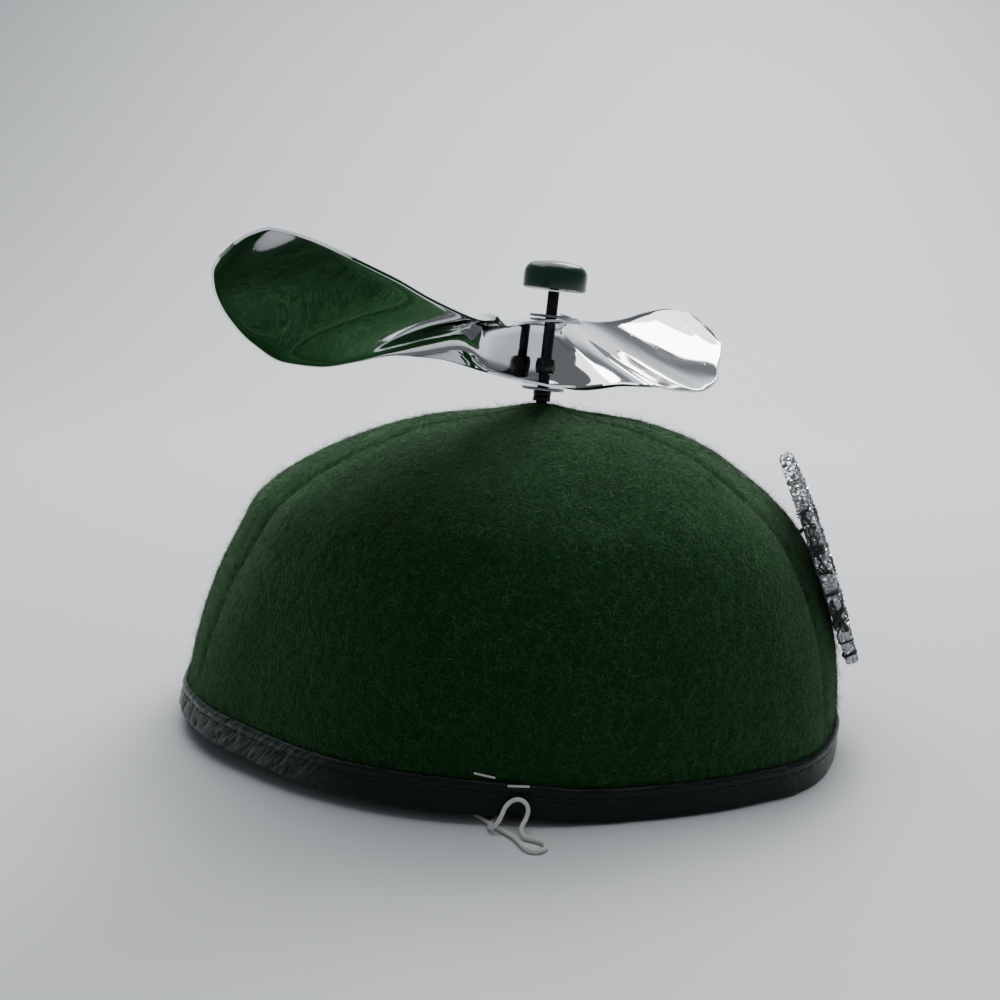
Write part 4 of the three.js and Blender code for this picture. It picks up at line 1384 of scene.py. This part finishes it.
def wrap_lines():
    """Stitches over the plate's edge: height on the plate, slant, strands, their spread"""
    wraps = [
        (17.5, 32, 2, 0.35), (8.2, -8, 5, 0.55), (2.3, -24, 2, 0.4), (-3.4, 10, 2, 0.4),
        (-9.5, 52, 3, 0.6), (-12.0, 58, 2, 0.6), (-17.8, 10, 1, 0.4), (-22.6, 22, 2, 0.5),
    ]
    rng = np.random.default_rng(9)
    lines = []
    for height, slant, strands, spread in wraps:
        for side in (-1, 1):
            for s in range(strands):
                up = height + spread * (s - (strands - 1) / 2)
                edge = math.sqrt(BADGE_RADIUS**2 - up**2)
                lean = math.tan(math.radians(slant + rng.uniform(-12, 12)))
                route = [
                    (-3.6, -0.1, -2.0), (-1.3, -0.3, -1.2), (0.35, 0.2, -0.7), (0.5, 1.5, 0),
                    (0.4, 2.9, 0.7), (-0.7, 3.4, 1.2), (-2.6, 3.2, 1.6), (-4.0, 2.6, 2.0),
                ]
                flat = [(side * (edge + a), up + c * lean, b) for a, b, c in route]
                lines.append([Vector(q) * MM for q in badge_place(flat)])
    return lines


def edge_runs():
    """Thread that wanders along the plate's edge between its wraps: from, to, strands"""
    rng = np.random.default_rng(4)
    lines = []
    for top, bottom, strands in ((17.5, 8.2, 3), (8.2, 2.3, 2), (-5.0, -14.5, 4)):
        for side in (-1, 1):
            for _ in range(strands):
                ups = np.linspace(top, bottom, 9)
                edge = np.sqrt(BADGE_RADIUS**2 - ups**2) + 0.3
                out = np.clip(1.3 + np.cumsum(rng.normal(size=9) * 0.45), 0.2, 2.8)
                flat = np.stack([side * edge, ups, out], axis=1)
                lines.append([Vector(q) * MM for q in badge_place(flat)])
    return lines


bridge = thread_tubes("badge_thread_twist", bridge_lines(), BRIDGE_RADIUS)
finish_piece(bridge, "badge_thread_twist", "cap", dark_thread, ["badge_thread"])
wraps = thread_tubes("badge_wraps", wrap_lines() + edge_runs(), WRAP_RADIUS)
finish_piece(wraps, "badge_wraps", "cap", dark_thread)

# %% [markdown]
# The hat stands on a pale table that curves up into a pale wall, so there is no
# horizon. A broad light overhead and a small one behind leave the side towards
# the camera dark and light up the loose hairs along the outline, as in the
# photograph, and the pale surroundings give the mirror its greys.

# %% Floor, backdrop and light
SWEEP_WIDTH, SWEEP_FRONT, SWEEP_BACK, SWEEP_RADIUS, SWEEP_TOP = 6.0, -2.0, 0.55, 0.8, 2.4
TABLE_HEIGHT = -0.2 * MM
sweep_profile = [(SWEEP_FRONT, TABLE_HEIGHT), (SWEEP_BACK, TABLE_HEIGHT)]
for step in range(1, 13):
    bend_angle = math.pi / 2 * step / 12
    sweep_profile.append((
        SWEEP_BACK + SWEEP_RADIUS * math.sin(bend_angle), SWEEP_RADIUS * (
            1 - math.cos(bend_angle)
        ),
    ))
sweep_profile.append((SWEEP_BACK + SWEEP_RADIUS, SWEEP_TOP))
sweep = new_mesh(
    "paper_sweep", [(side * SWEEP_WIDTH / 2, y, z) for y, z in sweep_profile for side in (-1, 1)],
    [(2 * i, 2 * i + 1, 2 * i + 3, 2 * i + 2) for i in range(len(sweep_profile) - 1)],
)
smooth_over(sweep, 60)
paper, paper_tree, paper_shader = new_material("pale_paper", Roughness=0.7, Specular_IOR_Level=0.2)
grain = add_node(
    paper_tree, "ShaderNodeTexNoise", {
        "Vector": object_place(paper_tree), "Scale": 2.0, "Detail": 3.0,
    },
)
PAPER_GREYS = (0.64, 0.67, 0.69, 1), (0.69, 0.72, 0.74, 1)
set_colour(paper_tree, paper_shader, grain.outputs["Fac"], *PAPER_GREYS)
sweep.data.materials.append(paper)

world = bpy.data.worlds.new("studio")
bpy.context.scene.world = world
world.use_nodes = True
world.node_tree.nodes["Background"].inputs["Color"].default_value = (0.72, 0.75, 0.78, 1)
world.node_tree.nodes["Background"].inputs["Strength"].default_value = 0.22


def area_light(name, place, target, size, power):
    start_fresh()
    bpy.ops.object.light_add(type="AREA", location=place)
    lamp = bpy.context.object
    lamp.name = name
    lamp.data.size = size
    lamp.data.energy = power
    lamp.rotation_mode = "QUATERNION"
    lamp.rotation_quaternion = (Vector(target) - Vector(place)).to_track_quat("-Z", "Y")
    return lamp


area_light("ceiling_softbox", (0.0, 0.45, 0.95), (0, 0.3, 0), 1.3, 16)
area_light("back_softbox", (0.35, 0.95, 1.1), (0, 0, 0.08), 0.6, 12)
